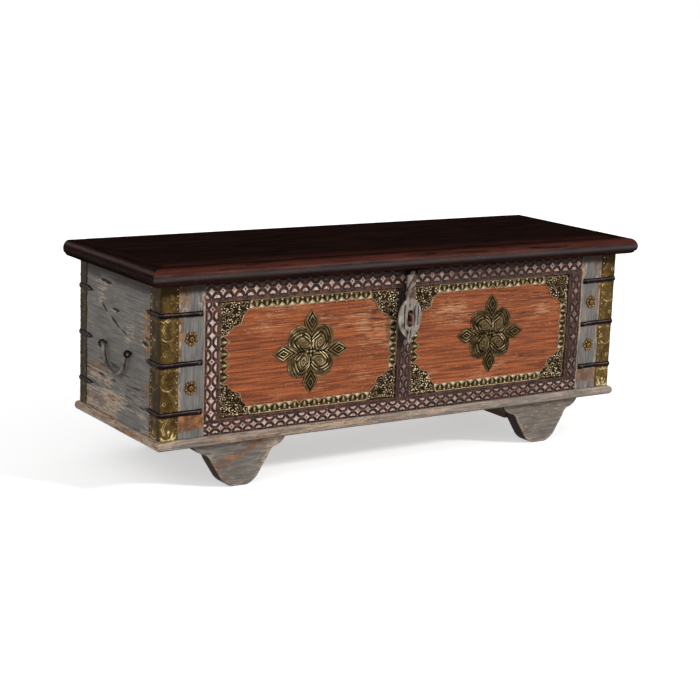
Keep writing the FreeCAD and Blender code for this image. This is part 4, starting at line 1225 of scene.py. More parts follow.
def border_strip(start, along, inward, length, reach):
    """u runs along the strip; the free edge is leaf_foot plus a pointed arch on each leaf. The crest is the
    highest of rim, heart, fans, bead and pearl, each a bell across its own line."""
    count = max(1, round(length / leaf_pitch))
    pitch = length / count
    u = np.linspace(0, length, count * leaf_stations + 1)
    place = u / pitch - np.floor(u / pitch) - 0.5
    place[-1] = 0.5
    away = np.abs(2 * place)
    edge = leaf_foot + (reach - leaf_foot) * (1 - 0.7 * away - 0.3 * away ** 3)
    v = np.linspace(0, 1, 26)[None, :] * edge[:, None]
    inset = edge[:, None] - v
    beside = np.abs(place[:, None]) * pitch
    rim = 0.8 * bell(inset - 1.2 * mm, 0.9 * mm)
    heart = 0.8 * bell(beside, 1.9 * mm) * bell(v - 0.52 * reach, 0.245 * reach)
    fans = 0.3 * bell(beside - 4.2 * mm + 0.25 * v, 0.8 * mm) * eased(inset, 0.002, 0.004)
    bead = 0.75 * bell(v - 1.3 * mm, 0.9 * mm)
    pearl = bell(beside - pitch / 2, 2.0 * mm) * bell(v - 4.4 * mm, 1.8 * mm)
    crest = highest(rim, heart, fans, bead, pearl)
    swell = 0.6 * np.clip(inset / (5 * mm), 0, 1) * eased(beside, pitch * 0.5, pitch * 0.15)
    rise = sheet_thickness + 1.0 * mm * crest + 1.3 * mm * swell
    front = start + u[:, None, None] * along + v[..., None] * inward - rise[..., None] * y_way
    rear = start + u[:, None, None] * along + np.stack([edge, 0 * edge], -1)[..., None] * inward
    crest = np.concatenate([0.12 + 0.8 * crest, np.zeros((len(u), 2))], axis=1)
    return loft(np.concatenate([front, rear], axis=1)), crest


def brass_border(side):
    """Four strips between the corner plates: below, above, on the left and on the right."""
    low, high = corners_of("painted_panel_" + side)
    width, _, height = high - low
    level_start, upright_start = low + plate_leg * x_way, low + plate_leg * z_way
    level_run, upright_run = width - 2 * plate_leg, height - 2 * plate_leg
    strips = [border_strip(level_start, x_way, z_way, level_run, border_width),
              border_strip(level_start + height * z_way, x_way, -z_way, level_run, border_width),
              border_strip(upright_start, z_way, x_way, upright_run, side_border_width),
              border_strip(upright_start + width * x_way, z_way, -x_way, upright_run, side_border_width)]
    add_metal("leaf_border_" + side, strips, border_brass, "brass_border_" + side)


for side, _ in sides:
    brass_border(side)

# %% [markdown]
# Each panel corner has a plate crowded with stamped foliage. Centres are strewn over it and every point
# belongs to the nearest one: a small flower of dabs stands round each centre and a broken curl
# outside the dabs, which leaves dark gaps between them.

# %% Corner plates
plate_edge_shares = ((1.0, 0.0), (0.95, 0.24), (0.75, 0.43), (0.67, 0.67))
plate_middle = np.array([0.36, 0.36]) * plate_leg
flower_rows = 4


def foliage(x, z, size, seed):
    """Four to six dabs round the nearest of many strewn centres, a broken curl outside them, and a plain bead
    along the two straight edges."""
    random = np.random.default_rng(seed)
    rows = np.arange(flower_rows)
    spots = (np.stack(np.meshgrid(rows, rows), -1).reshape(-1, 2) + 0.5) / flower_rows
    spots = (spots + random.uniform(-0.06, 0.06, spots.shape)) * size
    phase = random.uniform(0, 2 * np.pi, len(spots))
    dabs = random.integers(4, 7, len(spots))
    offset = np.stack([x, z], -1)[..., None, :] - spots
    distance = np.linalg.norm(offset, axis=-1)
    nearest = distance.argmin(-1)
    near = np.take_along_axis(distance, nearest[..., None], -1)[..., 0]
    turn = np.take_along_axis(np.arctan2(offset[..., 1], offset[..., 0]), nearest[..., None], -1)[..., 0]
    turn = turn + phase[nearest] + near * 90
    petals = eased(np.cos(dabs[nearest] * turn) * bell(near - 4.8 * mm, 2.6 * mm), 0.1, 0.75)
    petals = np.maximum(petals, 0.8 * bell(near, 1.4 * mm))
    curls = bell(near - 9.4 * mm, 1.4 * mm) * eased(np.cos(4 * turn), -0.1, 0.6)
    bead = 0.4 * bell(np.minimum(x, z) - 4.0 * mm, 1.0 * mm)
    strength = 0.75 + 0.45 * soft_noise(x / 0.01 + 20, z / 0.01 + 20, seed)
    return np.clip(highest(petals * strength, curls * strength, bead), 0, 1)


def corner_plate(corner, toward_x, toward_z, seed):
    """The outline has two straight legs and a stepped free edge, mirrored about the diagonal. The relief is the
    foliage, with a raised rim along the free edge only."""
    upper = [(b, a) for a, b in reversed(plate_edge_shares[:-1])]
    outline = resampled(np.array([(0, 0), *plate_edge_shares, *upper]) * plate_leg, 300)
    shares = sheet_shares(0.025, 56)
    rings = shrunk(outline, plate_middle, shares)
    free = np.minimum(outline[:, 0], outline[:, 1])[:, None] > 0.5 * mm
    rim = 0.95 * bell(1 - shares, 0.03) * free
    crest = np.maximum(foliage(rings[..., 0], rings[..., 1], plate_leg, seed) * eased(shares, 0.97, 0.92), rim)
    skin = outlined_plate(corner, toward_x, toward_z, plate_middle, rings, grounded(0.9 * mm + 2.0 * mm * crest))
    return skin, with_ends(0.1 + 0.9 * crest)


def brass_corners(side, seed):
    """Four plates, one in each corner of the panel, each turned towards the panel's middle."""
    low, high = corners_of("painted_panel_" + side)
    places = [(x, z, toward_x, toward_z) for x, toward_x in ((low[0], x_way), (high[0], -x_way))
              for z, toward_z in ((low[2], z_way), (high[2], -z_way))]
    plates = [corner_plate(np.array([x, low[1], z]), toward_x, toward_z, seed + index)
              for index, (x, z, toward_x, toward_z) in enumerate(places)]
    add_metal("scroll_corners_" + side, plates, plate_brass, "brass_corners_" + side)


brass_corners("left", 101)
brass_corners("right", 111)

# %% [markdown]
# The medallion is one embossed sheet with four pointed leaves on its axes and four petals on its
# diagonals. Leaves carry nested diamonds. Each petal is a domed eye with spiral lips round it, and
# flaring bracts run from the leaves to the middle, where small drops stand. The outline is the
# farther of the leaf and petal outlines at each angle, and the relief the higher of the two.

# %% Medallion outline
medallion_half_width, medallion_half_height = 89 * mm, 87 * mm
petal_offset, petal_radius = 26 * mm, 27.5 * mm
leaf_root, leaf_belly, leaf_half_width = 27 * mm, 64 * mm, 17.5 * mm
lip_starts, lip_growth = mm * np.array([15, 20.5, 26]), mm * np.array([6, 8, 9])
lip_strengths = np.array([1.0, 0.85, 0.75])
bract_starts = mm * np.array([14.5, 21])
bract_run, bract_flare = 24 * mm, 25 * mm


def leaf_local(x, z):
    """Distance along the nearest axis and beside it."""
    sideways = np.abs(x) > np.abs(z)
    along = np.where(sideways, np.abs(x) * medallion_half_height / medallion_half_width, np.abs(z))
    return along, np.where(sideways, np.abs(z), np.abs(x))


def leaf_inset(along, beside):
    """How far inside a leaf a point lies: its half width swells to the belly and then draws in to the tip."""
    root_share = np.clip((along - leaf_root) / (leaf_belly - leaf_root), 0, 1)
    tip_share = np.clip((along - leaf_belly) / (medallion_half_height - leaf_belly), 0, 1)
    half = leaf_half_width * np.where(along < leaf_belly, 0.3 + 0.7 * root_share ** 0.9, 1 - tip_share ** 1.15)
    return np.where((along > leaf_root) & (along < medallion_half_height), half - beside, -1.0)


def petal_inset(x, z):
    """How far inside a petal a point lies; petals are circles drawn a little square."""
    from_x, from_z = np.abs(x) - petal_offset, np.abs(z) - petal_offset
    return petal_radius - (np.abs(from_x) ** 2.4 + np.abs(from_z) ** 2.4) ** (1 / 2.4)


def medallion_outline(count):
    """At each angle, the farthest of many trial distances that lies inside a leaf or a petal."""
    turn = full_turn(count)
    trial = np.linspace(0.02, 0.0895, 900)
    x, z = trial[None, :] * np.cos(turn)[:, None], trial[None, :] * np.sin(turn)[:, None]
    inside = (leaf_inset(*leaf_local(x, z)) > 0) | (petal_inset(x, z) > 0)
    reach = trial[inside.shape[1] - 1 - inside[:, ::-1].argmax(1)]
    reach = (np.roll(reach, 1) + 2 * reach + np.roll(reach, -1)) / 4
    return reach[:, None] * np.stack([np.cos(turn), np.sin(turn)], -1)


print("medallion outline ready")

# %% Medallion relief
def leaf_relief(x, z, patchy):
    """Crest, height and inset of the leaves: nested diamonds, cosines of the distance from the belly, inside a
    rim, on a swelling that rises from the edge."""
    along, beside = leaf_local(x, z)
    inset = leaf_inset(along, beside)
    diamond = np.abs(along - leaf_belly) * 0.62 + beside
    rings = (0.5 + 0.5 * np.cos(2 * np.pi * diamond / (6.4 * mm))) ** 3
    pressed = np.where(np.abs(x) > np.abs(z), np.where(x < 0, 1.0, 0.8), np.where(z > 0, 0.72, 0.5))
    diamonds = 0.2 + (rings * pressed - 0.2) * eased(inset, 0.002, 0.004) * patchy
    crest = np.maximum(0.5 * bell(inset - 1.6 * mm, 1.1 * mm), diamonds)
    return crest, 3.0 * mm * np.clip(inset / (15 * mm), 0, 1) ** 0.6 + 1.3 * mm * crest, inset


def petal_relief(x, z, patchy):
    """Crest and height of the petals: a domed eye with faint rings, three lips that leave the eye as they sweep
    round it, each with a dark crease inside, and bracts that flare from each axis as a power of their climb."""
    along, beside = leaf_local(x, z)
    outwards = (np.abs(x) + np.abs(z)) * 0.5 ** 0.5 - petal_offset * 1.08
    sideways = (np.abs(x) - np.abs(z)) * 0.5 ** 0.5 * np.sign(x * z) + 0.35 * outwards
    eye = np.hypot(np.where(outwards < 0, 0.66, 0.92) * outwards, sideways)
    deep = petal_inset(x, z)
    faint = (0.5 + 0.5 * np.cos(2 * np.pi * eye / (5.2 * mm))) ** 2 * eased(eye, 0.0145, 0.012)
    sweep = 0.5 + np.arctan2(sideways, outwards) / (2 * np.pi)
    from_lips = eye[..., None] - lip_starts - lip_growth * sweep[..., None]
    collar = (lip_strengths * bell(from_lips, 1.25 * mm)).max(-1) * patchy
    creases = (lip_strengths * bell(from_lips + 2.5 * mm, 1.2 * mm)).max(-1)
    climb = np.clip((along[..., None] - bract_starts) / bract_run, 0, 1.3)
    bracts = (beside[..., None] - bract_flare * climb ** 1.7) / np.sqrt(1 + (1.77 * climb ** 0.7) ** 2)
    reach = eased(climb, 0.92, 0.7) * eased(climb, 0.0, 0.08)
    lines = (bell(bracts, 1.4 * mm) * reach).max(-1) * patchy
    creases = np.maximum(creases, (bell(bracts - 3 * mm, 1.3 * mm) * reach).max(-1))
    collar = np.maximum(collar * eased(bracts[..., 0], -0.0005, 0.002), lines)
    lip = 0.7 * bell(deep - 1.6 * mm, 1.0 * mm) * patchy
    crest = highest(0.28 + 0.42 * faint * patchy, collar * eased(deep, 0.001, 0.004), lip)
    crest = crest * (1 - 0.9 * creases * (collar < 0.6))
    height = 2.0 * mm * np.sqrt(np.clip(deep / petal_radius, 0, 1)) + 1.0 * mm * crest
    height += 3.2 * mm * np.sqrt(np.clip(1 - (eye / (15 * mm)) ** 2, 0, 1)) + 1.0 * mm * collar
    seam = np.minimum(np.abs(x), np.abs(z))
    height = np.where(deep > 0, height, 0) * (0.25 + 0.75 * eased(seam, 0.0, 0.005))
    return np.where(deep > 0, crest * eased(seam, 0.0004, 0.0025), 0), height


def medallion_relief(x, z):
    """Crest from 0 to 1 and height: the higher of leaf and petal, plus a ring of drops and a knob."""
    patchy = 0.85 + 0.5 * soft_noise(x / 0.016 + 30, z / 0.016 + 30, 93)
    leaf_crest, leaf_height, inset = leaf_relief(x, z, patchy)
    petal_crest, petal_height = petal_relief(x, z, patchy)
    boss = np.hypot(x, z)
    drops = 0.75 * bell(boss - 8 * mm, 3.6 * mm) * (0.5 + 0.5 * np.cos(4 * np.arctan2(z, x))) ** 3
    knob = 0.8 * bell(boss, 2.6 * mm)
    on_leaf = (inset > 0) & (leaf_height > petal_height)
    height = np.where(on_leaf, leaf_height, petal_height) + 1.6 * mm * drops + 2.0 * mm * knob
    return highest(np.where(on_leaf, leaf_crest, petal_crest), drops, knob), height


print("medallion relief ready")

# %% Medallions
def medallion(side, shine):
    """The relief on rings about the middle of the panel, eased down to the sheet's edge."""
    low, high = corners_of("painted_panel_" + side)
    centre = np.array([(low[0] + high[0]) / 2, low[1], (low[2] + high[2]) / 2])
    shares = sheet_shares(0.012, 84)
    rings = shrunk(medallion_outline(640), np.zeros(2), shares)
    crest, height = medallion_relief(rings[..., 0], rings[..., 1])
    rises = grounded(sheet_thickness + height * eased(shares, 1.0, 0.95))
    skin = outlined_plate(centre, x_way, z_way, np.zeros(2), rings, rises)
    add_metal("embossed_medallion_" + side, [(skin, with_ends(0.06 + crest * shine))],
              medallion_brass, "medallion_" + side)


medallion("left", 0.95)
medallion("right", 0.72)

# %% [markdown]
# A brass angle is folded round each upright corner. The sheet is a grid: one way runs across the fold,
# the other up the corner. Its cut edges wander a little. Between the iron straps a zigzag, a
# garland, small flowers and a crescent are pressed into it, and a fan stands at its foot.

# %% Angle ornament
angle_thickness, fold_radius = 1.0 * mm, 2.0 * mm
angle_stations, angle_columns = 190, 64
strap_heights = [z * mm for z in (165.0, 262.0, 359.0)]
bay_height = strap_heights[1] - strap_heights[0]
end_x = corners_of("corner_stile_right")[1][0]
stile_face, rear_face = corners_of("corner_stile_left")[0][1], corners_of("end_board_left")[1][1]
rows = (("front", 1, stile_face, 47 * mm), ("rear", -1, rear_face, 36 * mm))  # name, way inwards, face, side leg


def fold_path(s, face_leg, radius):
    """Along the face, round a small arc, along the side: the place from the corner and the way outwards."""
    turn = np.clip((s - face_leg) / radius, 0, np.pi / 2)
    x = np.minimum(s, face_leg) - face_leg - radius + radius * np.sin(turn)
    y = radius * (1 - np.cos(turn)) + np.maximum(s - face_leg - radius * np.pi / 2, 0)
    return x, y, np.sin(turn), -np.cos(turn)


def pressed_lines(a, local, s, zz, seed):
    """Ornament of one bay, where a runs in from the free edges and local up from a strap: the highest of bells
    across a double zigzag, a waving garland, two ringed flowers and part of a circle, worn by noise."""
    zigzag = 5 * mm + 27 * mm * np.abs(2 * ((local / bay_height + 0.28) % 1) - 1)
    crossed = np.minimum(np.abs(a - zigzag), np.abs(a - zigzag - 4 * mm)) * 0.88
    garland = local - 86 * mm - 1.6 * mm * np.cos(2 * np.pi * a / (9.5 * mm))
    flowers = np.minimum(np.hypot(a - 30 * mm, local - 22 * mm), np.hypot(a - 9 * mm, local - 66 * mm))
    crescent = np.hypot((a - 23 * mm) * 0.9, local - 60 * mm) - 13 * mm
    lines = highest(0.62 * bell(crossed, 0.75 * mm), 0.8 * bell(garland, 1.2 * mm),
                    0.75 * bell(flowers - 3.2 * mm, 1.0 * mm),
                    bell(crescent, 1.1 * mm) * eased(local, 0.058, 0.05))
    return lines * (0.7 + 0.5 * soft_noise(s / 0.016, zz / 0.016, seed + 3))


print("angle ornament ready")

# %% Corner angles
def corner_angle(row, side, outward, toward_y, corner_y, side_leg, seed):
    """A grid across the fold and up the corner, lifted by its thickness, the pressed lines, the fan and shallow
    dents. The crest is brighter on the lines and at the foot, and lowered as painted shade under the lid and on the
    side leg."""
    node = f"corner_brass_{row}_{side}"
    low, high = corners_of(node)
    face_leg = angle_face_leg - fold_radius
    total = face_leg + fold_radius * np.pi / 2 + side_leg - fold_radius
    z = np.linspace(low[2], high[2], angle_stations)
    ragged_face = 1.4 * mm * soft_noise(z / 0.02, 3.3, seed) + 0.5 * mm * soft_noise(z / 0.004, 1.7, seed)
    ragged_side = 3.4 * mm * soft_noise(z / 0.016, 7.3, seed + 1) + 0.9 * mm * soft_noise(z / 0.004, 5.7, seed)
    begin, end = np.abs(ragged_face), total - 2.5 * mm - np.abs(ragged_side)
    s = begin[:, None] + (end - begin)[:, None] * np.linspace(0, 1, angle_columns)
    zz = np.broadcast_to(z[:, None], s.shape)
    a = np.minimum(s, face_leg + side_leg - s)
    up, across = zz - low[2] - 2 * mm, a - 20 * mm
    fan_reach = np.hypot(across, up)
    fan = 0.5 + 0.5 * np.cos(11 * np.arctan2(across, np.maximum(up, 0) + 4 * mm))
    fan = fan * eased(fan_reach, 0.019, 0.016) * eased(fan_reach, 0.003, 0.006)
    fan = fan * (0.45 + 0.4 * soft_noise(s / 0.006, zz / 0.006, seed + 4))
    lines = np.clip(np.maximum(pressed_lines(a, (zz - strap_heights[0]) % bay_height, s, zz, seed), fan), 0, 1)
    dents = 0.35 * mm * soft_noise(s / 0.012, zz / 0.015, seed + 2)
    rise = angle_thickness + 0.9 * mm * lines + np.minimum(dents, 0.1 * mm)
    x, y, out_x, out_y = fold_path(s, face_leg, fold_radius)

    def placed(lift):
        """The sheet's points, lifted outwards from the wood."""
        return np.stack([outward * (end_x + x + lift * out_x), corner_y + toward_y * (y + lift * out_y), zz], -1)

    crest = 0.36 + 0.65 * lines + 0.16 * soft_noise(s / 0.012, zz / 0.03, seed + 5)
    crest += 0.13 * eased(up, 0.03, 0.012) * eased(soft_noise(s / 0.01, zz / 0.008, seed + 6), -0.6, 0.4)
    # Painted shade: darker under the lid's overhang, and on the side leg, more so at the back.
    crest -= 0.5 * eased(zz, high[2] - 0.026, high[2] - 0.012)
    crest -= (0.22 if toward_y > 0 else 0.3) * eased(s, face_leg, face_leg + 0.004)
    skin = loft(np.concatenate([placed(rise), placed(0 * rise)[:, ::-1]], axis=1))
    crest = np.concatenate([np.clip(crest, 0, 1), np.zeros_like(s)], axis=1)
    add_metal(f"folded_brass_{row}_{side}", [(skin, crest)], angle_brass, node)


for index, (row, toward_y, corner_y, side_leg) in enumerate(rows):
    for side, outward in sides:
        corner_angle(row, side, outward, toward_y, corner_y, side_leg, 121 + 10 * index + 5 * (outward > 0))

# %% [markdown]
# Three forged straps clasp each corner over the brass. A strap is a half-round section carried along the
# fold; it narrows from the corner, flares again and ends in a blunt fishtail on the face and in a
# point on the side.

# %% Iron straps
strap_face_leg, strap_side_leg, strap_bend = 90 * mm, 64 * mm, 5 * mm
strap_half, strap_thickness, strap_stations = 5.2 * mm, 4.6 * mm, 84


def strap_skin(corner_y, outward, toward_y, z, seed):
    """The path is the fold at a larger radius. Half height and thickness are functions of the distance
    along it, and the section is half an ellipse standing on the wood."""
    face = strap_face_leg - strap_bend
    total = face + strap_bend * np.pi / 2 + strap_side_leg - strap_bend
    between_ends = np.linspace(1.2 * mm, total - 1.2 * mm, strap_stations)
    s = np.concatenate([[0, 0.4 * mm], between_ends, [total - 0.4 * mm, total]])
    x, y, out_x, out_y = (values[:, None] for values in fold_path(s, face, strap_bend))
    from_side = total - s
    half = strap_half + 1.4 * mm * bell(s, 7 * mm) + 0.6 * mm * bell(s - face, 16 * mm)
    half = half * eased(s, -0.002, 0.0012) * (0.12 + 0.88 * eased(from_side, 0.0, 0.022))
    half = half * (1 + 0.1 * soft_noise(s / 0.011, z / 0.01, seed))
    thick = strap_thickness * (0.35 + 0.65 * eased(s, 0, 0.008)) * (0.3 + 0.7 * eased(from_side, 0, 0.014))
    sway = 0.9 * mm * soft_noise(s / 0.04, z / 0.02, seed + 1)
    arc = np.linspace(0, np.pi, 13)
    lift = thick[:, None] * np.sin(arc) ** 0.8 * (1 + 0.07 * soft_noise(s[:, None] / 0.009, arc * 1.5, seed + 2))
    up = half[:, None] * np.cos(arc) + sway[:, None] + z
    rings = np.stack([outward * (end_x + x + lift * out_x), corner_y + toward_y * (y + lift * out_y), up], -1)
    # The crest is a painted highlight along the upper side of the half-round.
    return loft(rings), np.broadcast_to(0.2 + 0.5 * bell(arc - 1.1, 0.35), up.shape)


for index, (row, toward_y, corner_y, _) in enumerate(rows):
    for side, outward in sides:
        seed = 141 + 10 * index + 5 * (outward > 0)
        straps = [strap_skin(corner_y, outward, toward_y, z, seed) for z in strap_heights]
        add_metal(f"forged_straps_{row}_{side}", straps, forged_iron, f"iron_straps_{row}_{side}")

# %% [markdown]
# Four rosette studs sit on the stiles between the straps: a scalloped rim, a ring of petals and a domed
# heart. In polar form all of that is a few cosines of the angle and of the distance.

# %% Rosette studs
rosette_radius = 15.5 * mm
rosette_places = [(x * mm, z * mm) for x in (-500, 500) for z in (213.5, 310.5)]


def rosette(x, z):
    """Rim, petals and flutes are cosines of the angle; the ring is a bell of the distance from the middle and
    the heart a half circle over it."""
    turn = full_turn(144)
    ragged = 0.86 + 0.08 * np.cos(13 * turn) + 0.06 * np.cos(5 * turn + x * 90 + z * 70)
    outline = rosette_radius * ragged[:, None] * np.stack([np.cos(turn), np.sin(turn)], -1)
    shares = sheet_shares(0.04, 30)
    petals = np.clip(0.4 + 0.5 * np.cos(13 * turn) + 0.4 * np.cos(7 * turn + x * 50 + z * 40), 0, 1)[:, None]
    flutes = 0.5 + 0.5 * np.cos(8 * turn + 0.4)[:, None]
    ring, heart = bell(shares - 0.74, 0.17), np.sqrt(np.clip(1 - (shares / 0.42) ** 2, 0, 1))
    crest = np.maximum(ring * (0.15 + 0.85 * petals), heart * (0.5 + 0.5 * flutes) * eased(shares, 0.0, 0.2))
    rises = 0.8 * mm + 2.4 * mm * ring * (0.45 + 0.55 * petals) + 4.6 * mm * heart * (0.85 + 0.15 * flutes)
    skin = outlined_plate(np.array([x, stile_face, z]), x_way, z_way, np.zeros(2),
                          shrunk(outline, np.zeros(2), shares), grounded(rises))
    return skin, with_ends(0.2 + 0.7 * crest)


add_metal("flower_studs", [rosette(x, z) for x, z in rosette_places], rosette_brass, "rosette_studs")

# %% [markdown]
# The bails are forged bars that hang from the ends. Round bars, such as these, their eyes and the staple,
# are circles carried along a path that lies in one plane. The plane's normal keeps the circles
# from twisting.

# %% Round bars
bar_sides = 14
joints = {joint["name"]: joint for joint in frame["joints"]}
bail_radius, bail_drop, bail_eye_half = 4 * mm, 52 * mm, 58 * mm
bail_shoulder, bail_pin = 9 * mm, 16 * mm


def bar(path, radii, normal, turns=bar_sides):
    """Circles of the given radii round a flat path; the direction beside the path is tangent x normal."""
    tangent = np.gradient(path, axis=0)
    tangent = tangent / np.linalg.norm(tangent, axis=1, keepdims=True)
    beside = np.cross(tangent, normal)
    turn = full_turn(turns)
    ring = np.cos(turn)[None, :, None] * beside[:, None, :] + np.sin(turn)[None, :, None] * normal
    return loft(path[:, None, :] + radii[:, None, None] * ring)


def eased_ends(count, radius, drop=0.35, span=3):
    """Radii along a bar that fall away over the last few stations at both ends."""
    place = np.minimum(np.arange(count), np.arange(count)[::-1])
    return radius * (drop + (1 - drop) * np.sin(np.clip(place / span, 0, 1) * np.pi / 2))


def bail_handle(side):
    """Half a turn from eye to eye: the reach is a sine, the drop a power of the cosine, and a straight pin runs
    through each eye. Noise wears the radius."""
    x, y_middle, z = joints[f"handle_{side}_swing"]["pos_m"]
    turn = np.linspace(-np.pi / 2, np.pi / 2, 61)
    reach = bail_eye_half - bail_shoulder
    y = reach * np.sin(turn) * (1 - 0.1 * np.cos(turn))
    drop = bail_drop * np.cos(turn) ** 0.72
    pin = np.linspace(0, bail_pin, 8)
    y = np.concatenate([-reach - pin[::-1], y[1:-1], reach + pin])
    drop = np.concatenate([0 * pin, drop[1:-1], 0 * pin])
    path = np.stack([np.full_like(y, x), y_middle + y, z - drop], -1)
    wear = 1 + 0.06 * soft_noise(y / 0.012, drop / 0.02, 151)
    skin = bar(path, eased_ends(len(path), bail_radius) * wear, x_way)
    add_piece("forged_bail_" + side, skin, "handle_" + side, worn_iron,
              {"crest": np.full(len(skin[0]), 0.64)}, ["handle_bail_" + side])


for side, _ in sides:
    bail_handle(side)

# %% [markdown]
# The eyes that hold the bails are rings on shanks driven into the ends. A ring is a rounded section
# carried round a circle, closed both ways.

# %% Handle eyes
ring_turns = 40
eye_radius, eye_half_bar, eye_half_width, shank_radius = 6.1 * mm, 1.7 * mm, 3.2 * mm, 3 * mm


def ring_skin(centre, radius, section, first, second, third):
    """A section of (outwards, sideways) points carried round a circle in the plane of first and second."""
    turn = full_turn(ring_turns)[:, None, None]
    outwards = np.cos(turn) * first + np.sin(turn) * second
    points = centre + (radius + section[None, :, :1]) * outwards + section[None, :, 1:] * third
    return points.reshape(-1, 3), [quads(ring_turns, len(section), True, True)]


def handle_eyes(side, outward):
    """Two rings round the bail's pins, each with a straight shank from the end board."""
    x, y_middle, z = joints[f"handle_{side}_swing"]["pos_m"]
    low, high = corners_of("handle_eyes_" + side)
    root = high[0] if outward < 0 else low[0]
    turn = full_turn(bar_sides)
    section = np.stack([eye_half_bar * np.cos(turn), eye_half_width * np.sin(turn)], -1)
    skins = []
    for y in (y_middle - bail_eye_half, y_middle + bail_eye_half):
        skins.append(ring_skin(np.array([x, y, z]), eye_radius, section, x_way, z_way, y_way))
        path = np.linspace([root, y, z], [x - outward * 5 * mm, y, z], 6)
        skins.append(bar(path, np.full(len(path), shank_radius), z_way))
    add_metal("forged_eyes_" + side, [(skin, np.full(len(skin[0]), 0.45)) for skin in skins],
              forged_iron, "handle_eyes_" + side)


for side, outward in sides:
    handle_eyes(side, outward)

# %% [markdown]
# The hasp hangs from a pin under the lid's nosing and drops over the staple. Its face runs in rings from
# the slot to the outline. Upright flutes are worn into the leaf beside the slot, the tail has two
# short ones, and one slanting split crosses the neck, with rust below it.

# %% Hasp outline
hasp_neck_half, hasp_leaf_half, hasp_tail_half = 10.5 * mm, 29 * mm, 4.5 * mm
hasp_slot_radius, hasp_slot_straight = 7 * mm, 11 * mm
hasp_half_thickness = 2 * mm
hasp_leaf_top, hasp_leaf_end, hasp_tail_end = 355 * mm, 273 * mm, 261 * mm
knuckle_half, knuckle_radius, knuckle_drop = 6 * mm, 4.8 * mm, 5.4 * mm
body_level = 0.62


def slot_reach(turn):
    """Distance from the middle of the slot to its edge: straight sides, then half circles at the ends."""
    sine, cosine = np.abs(np.sin(turn)), np.abs(np.cos(turn))
    side = hasp_slot_radius / np.maximum(cosine, 1e-6)
    along = hasp_slot_straight * sine
    end = along + np.sqrt(np.maximum(hasp_slot_radius ** 2 - (hasp_slot_straight * cosine) ** 2, 0))
    return np.where(side * sine < hasp_slot_straight, side, end)


def hasp_outline(z_pivot, z_middle):
    """Half of it runs from the knuckle down the neck, round the leaf and the tail by arcs; then it is mirrored."""
    neck = [(0, z_pivot), (knuckle_half, z_pivot), (knuckle_half, z_pivot - knuckle_drop),
            (hasp_neck_half, z_pivot - knuckle_drop)]
    leaf = arc_points((hasp_neck_half, hasp_leaf_top), (hasp_leaf_half, z_middle),
                      (hasp_tail_half, hasp_leaf_end), 40)
    tail = arc_points((hasp_tail_half, hasp_leaf_end), (hasp_tail_half * 0.8, hasp_tail_end + 3 * mm),
                      (0, hasp_tail_end), 10)
    half = np.concatenate([neck, leaf, tail])
    outline = np.concatenate([half, half[-2:0:-1] * np.array([-1, 1])])
    return resampled(outline, 320) - np.array([0, z_middle])


print("hasp outline ready")

# %% Hasp
def hasp_wear(a, b):
    """Crest and rust on the face. Flutes are bells about swaying upright lines, faded at both ends. The neck has
    a slanting split and a short upright one. Streaks of noise darken all of it."""
    neck = eased(b, 0.036, 0.046)
    broken = eased(soft_noise(a / 0.012, b / 0.014, 165), -0.7, 0.0)
    sway = a + 0.8 * mm * soft_noise(a / 0.02, b / 0.012, 164)
    flutes = bell(sway + 14.5 * mm, 1.6 * mm) * eased(b, -0.026, -0.018) * eased(b, 0.034, 0.026)
    beside = bell(sway - 10.5 * mm, 1.6 * mm) + bell(sway - 19 * mm, 1.1 * mm)
    flutes += broken * beside * eased(b, -0.02, -0.012) * eased(b, 0.03, 0.022)
    tail = bell(np.abs(a - 0.08 * b) - 3.6 * mm, 1.0 * mm) * eased(b, -0.022, -0.028) * eased(b, -0.05, -0.042)
    flutes = np.maximum(flutes, 0.9 * tail)
    split = (b - 1.6 * a - 79 * mm) / 1.9
    cuts = bell(split, 1.5 * mm) + bell(a + 4 * mm, 1.6 * mm) * eased(b, 0.054, 0.046)
    crest = body_level - 0.6 * np.clip((1 - neck) * flutes + neck * np.clip(cuts, 0, 1), 0, 1)
    crest -= 0.26 * eased(soft_noise(a / 0.003, b / 0.014, 167), 0.0, 0.7)
    rust = neck * (0.45 + 0.55 * eased(split, 0.003, -0.001))
    return crest, np.clip(rust + 0.3 * eased(soft_noise(a / 0.02, b / 0.02, 163), 0.2, 0.7), 0, 1)


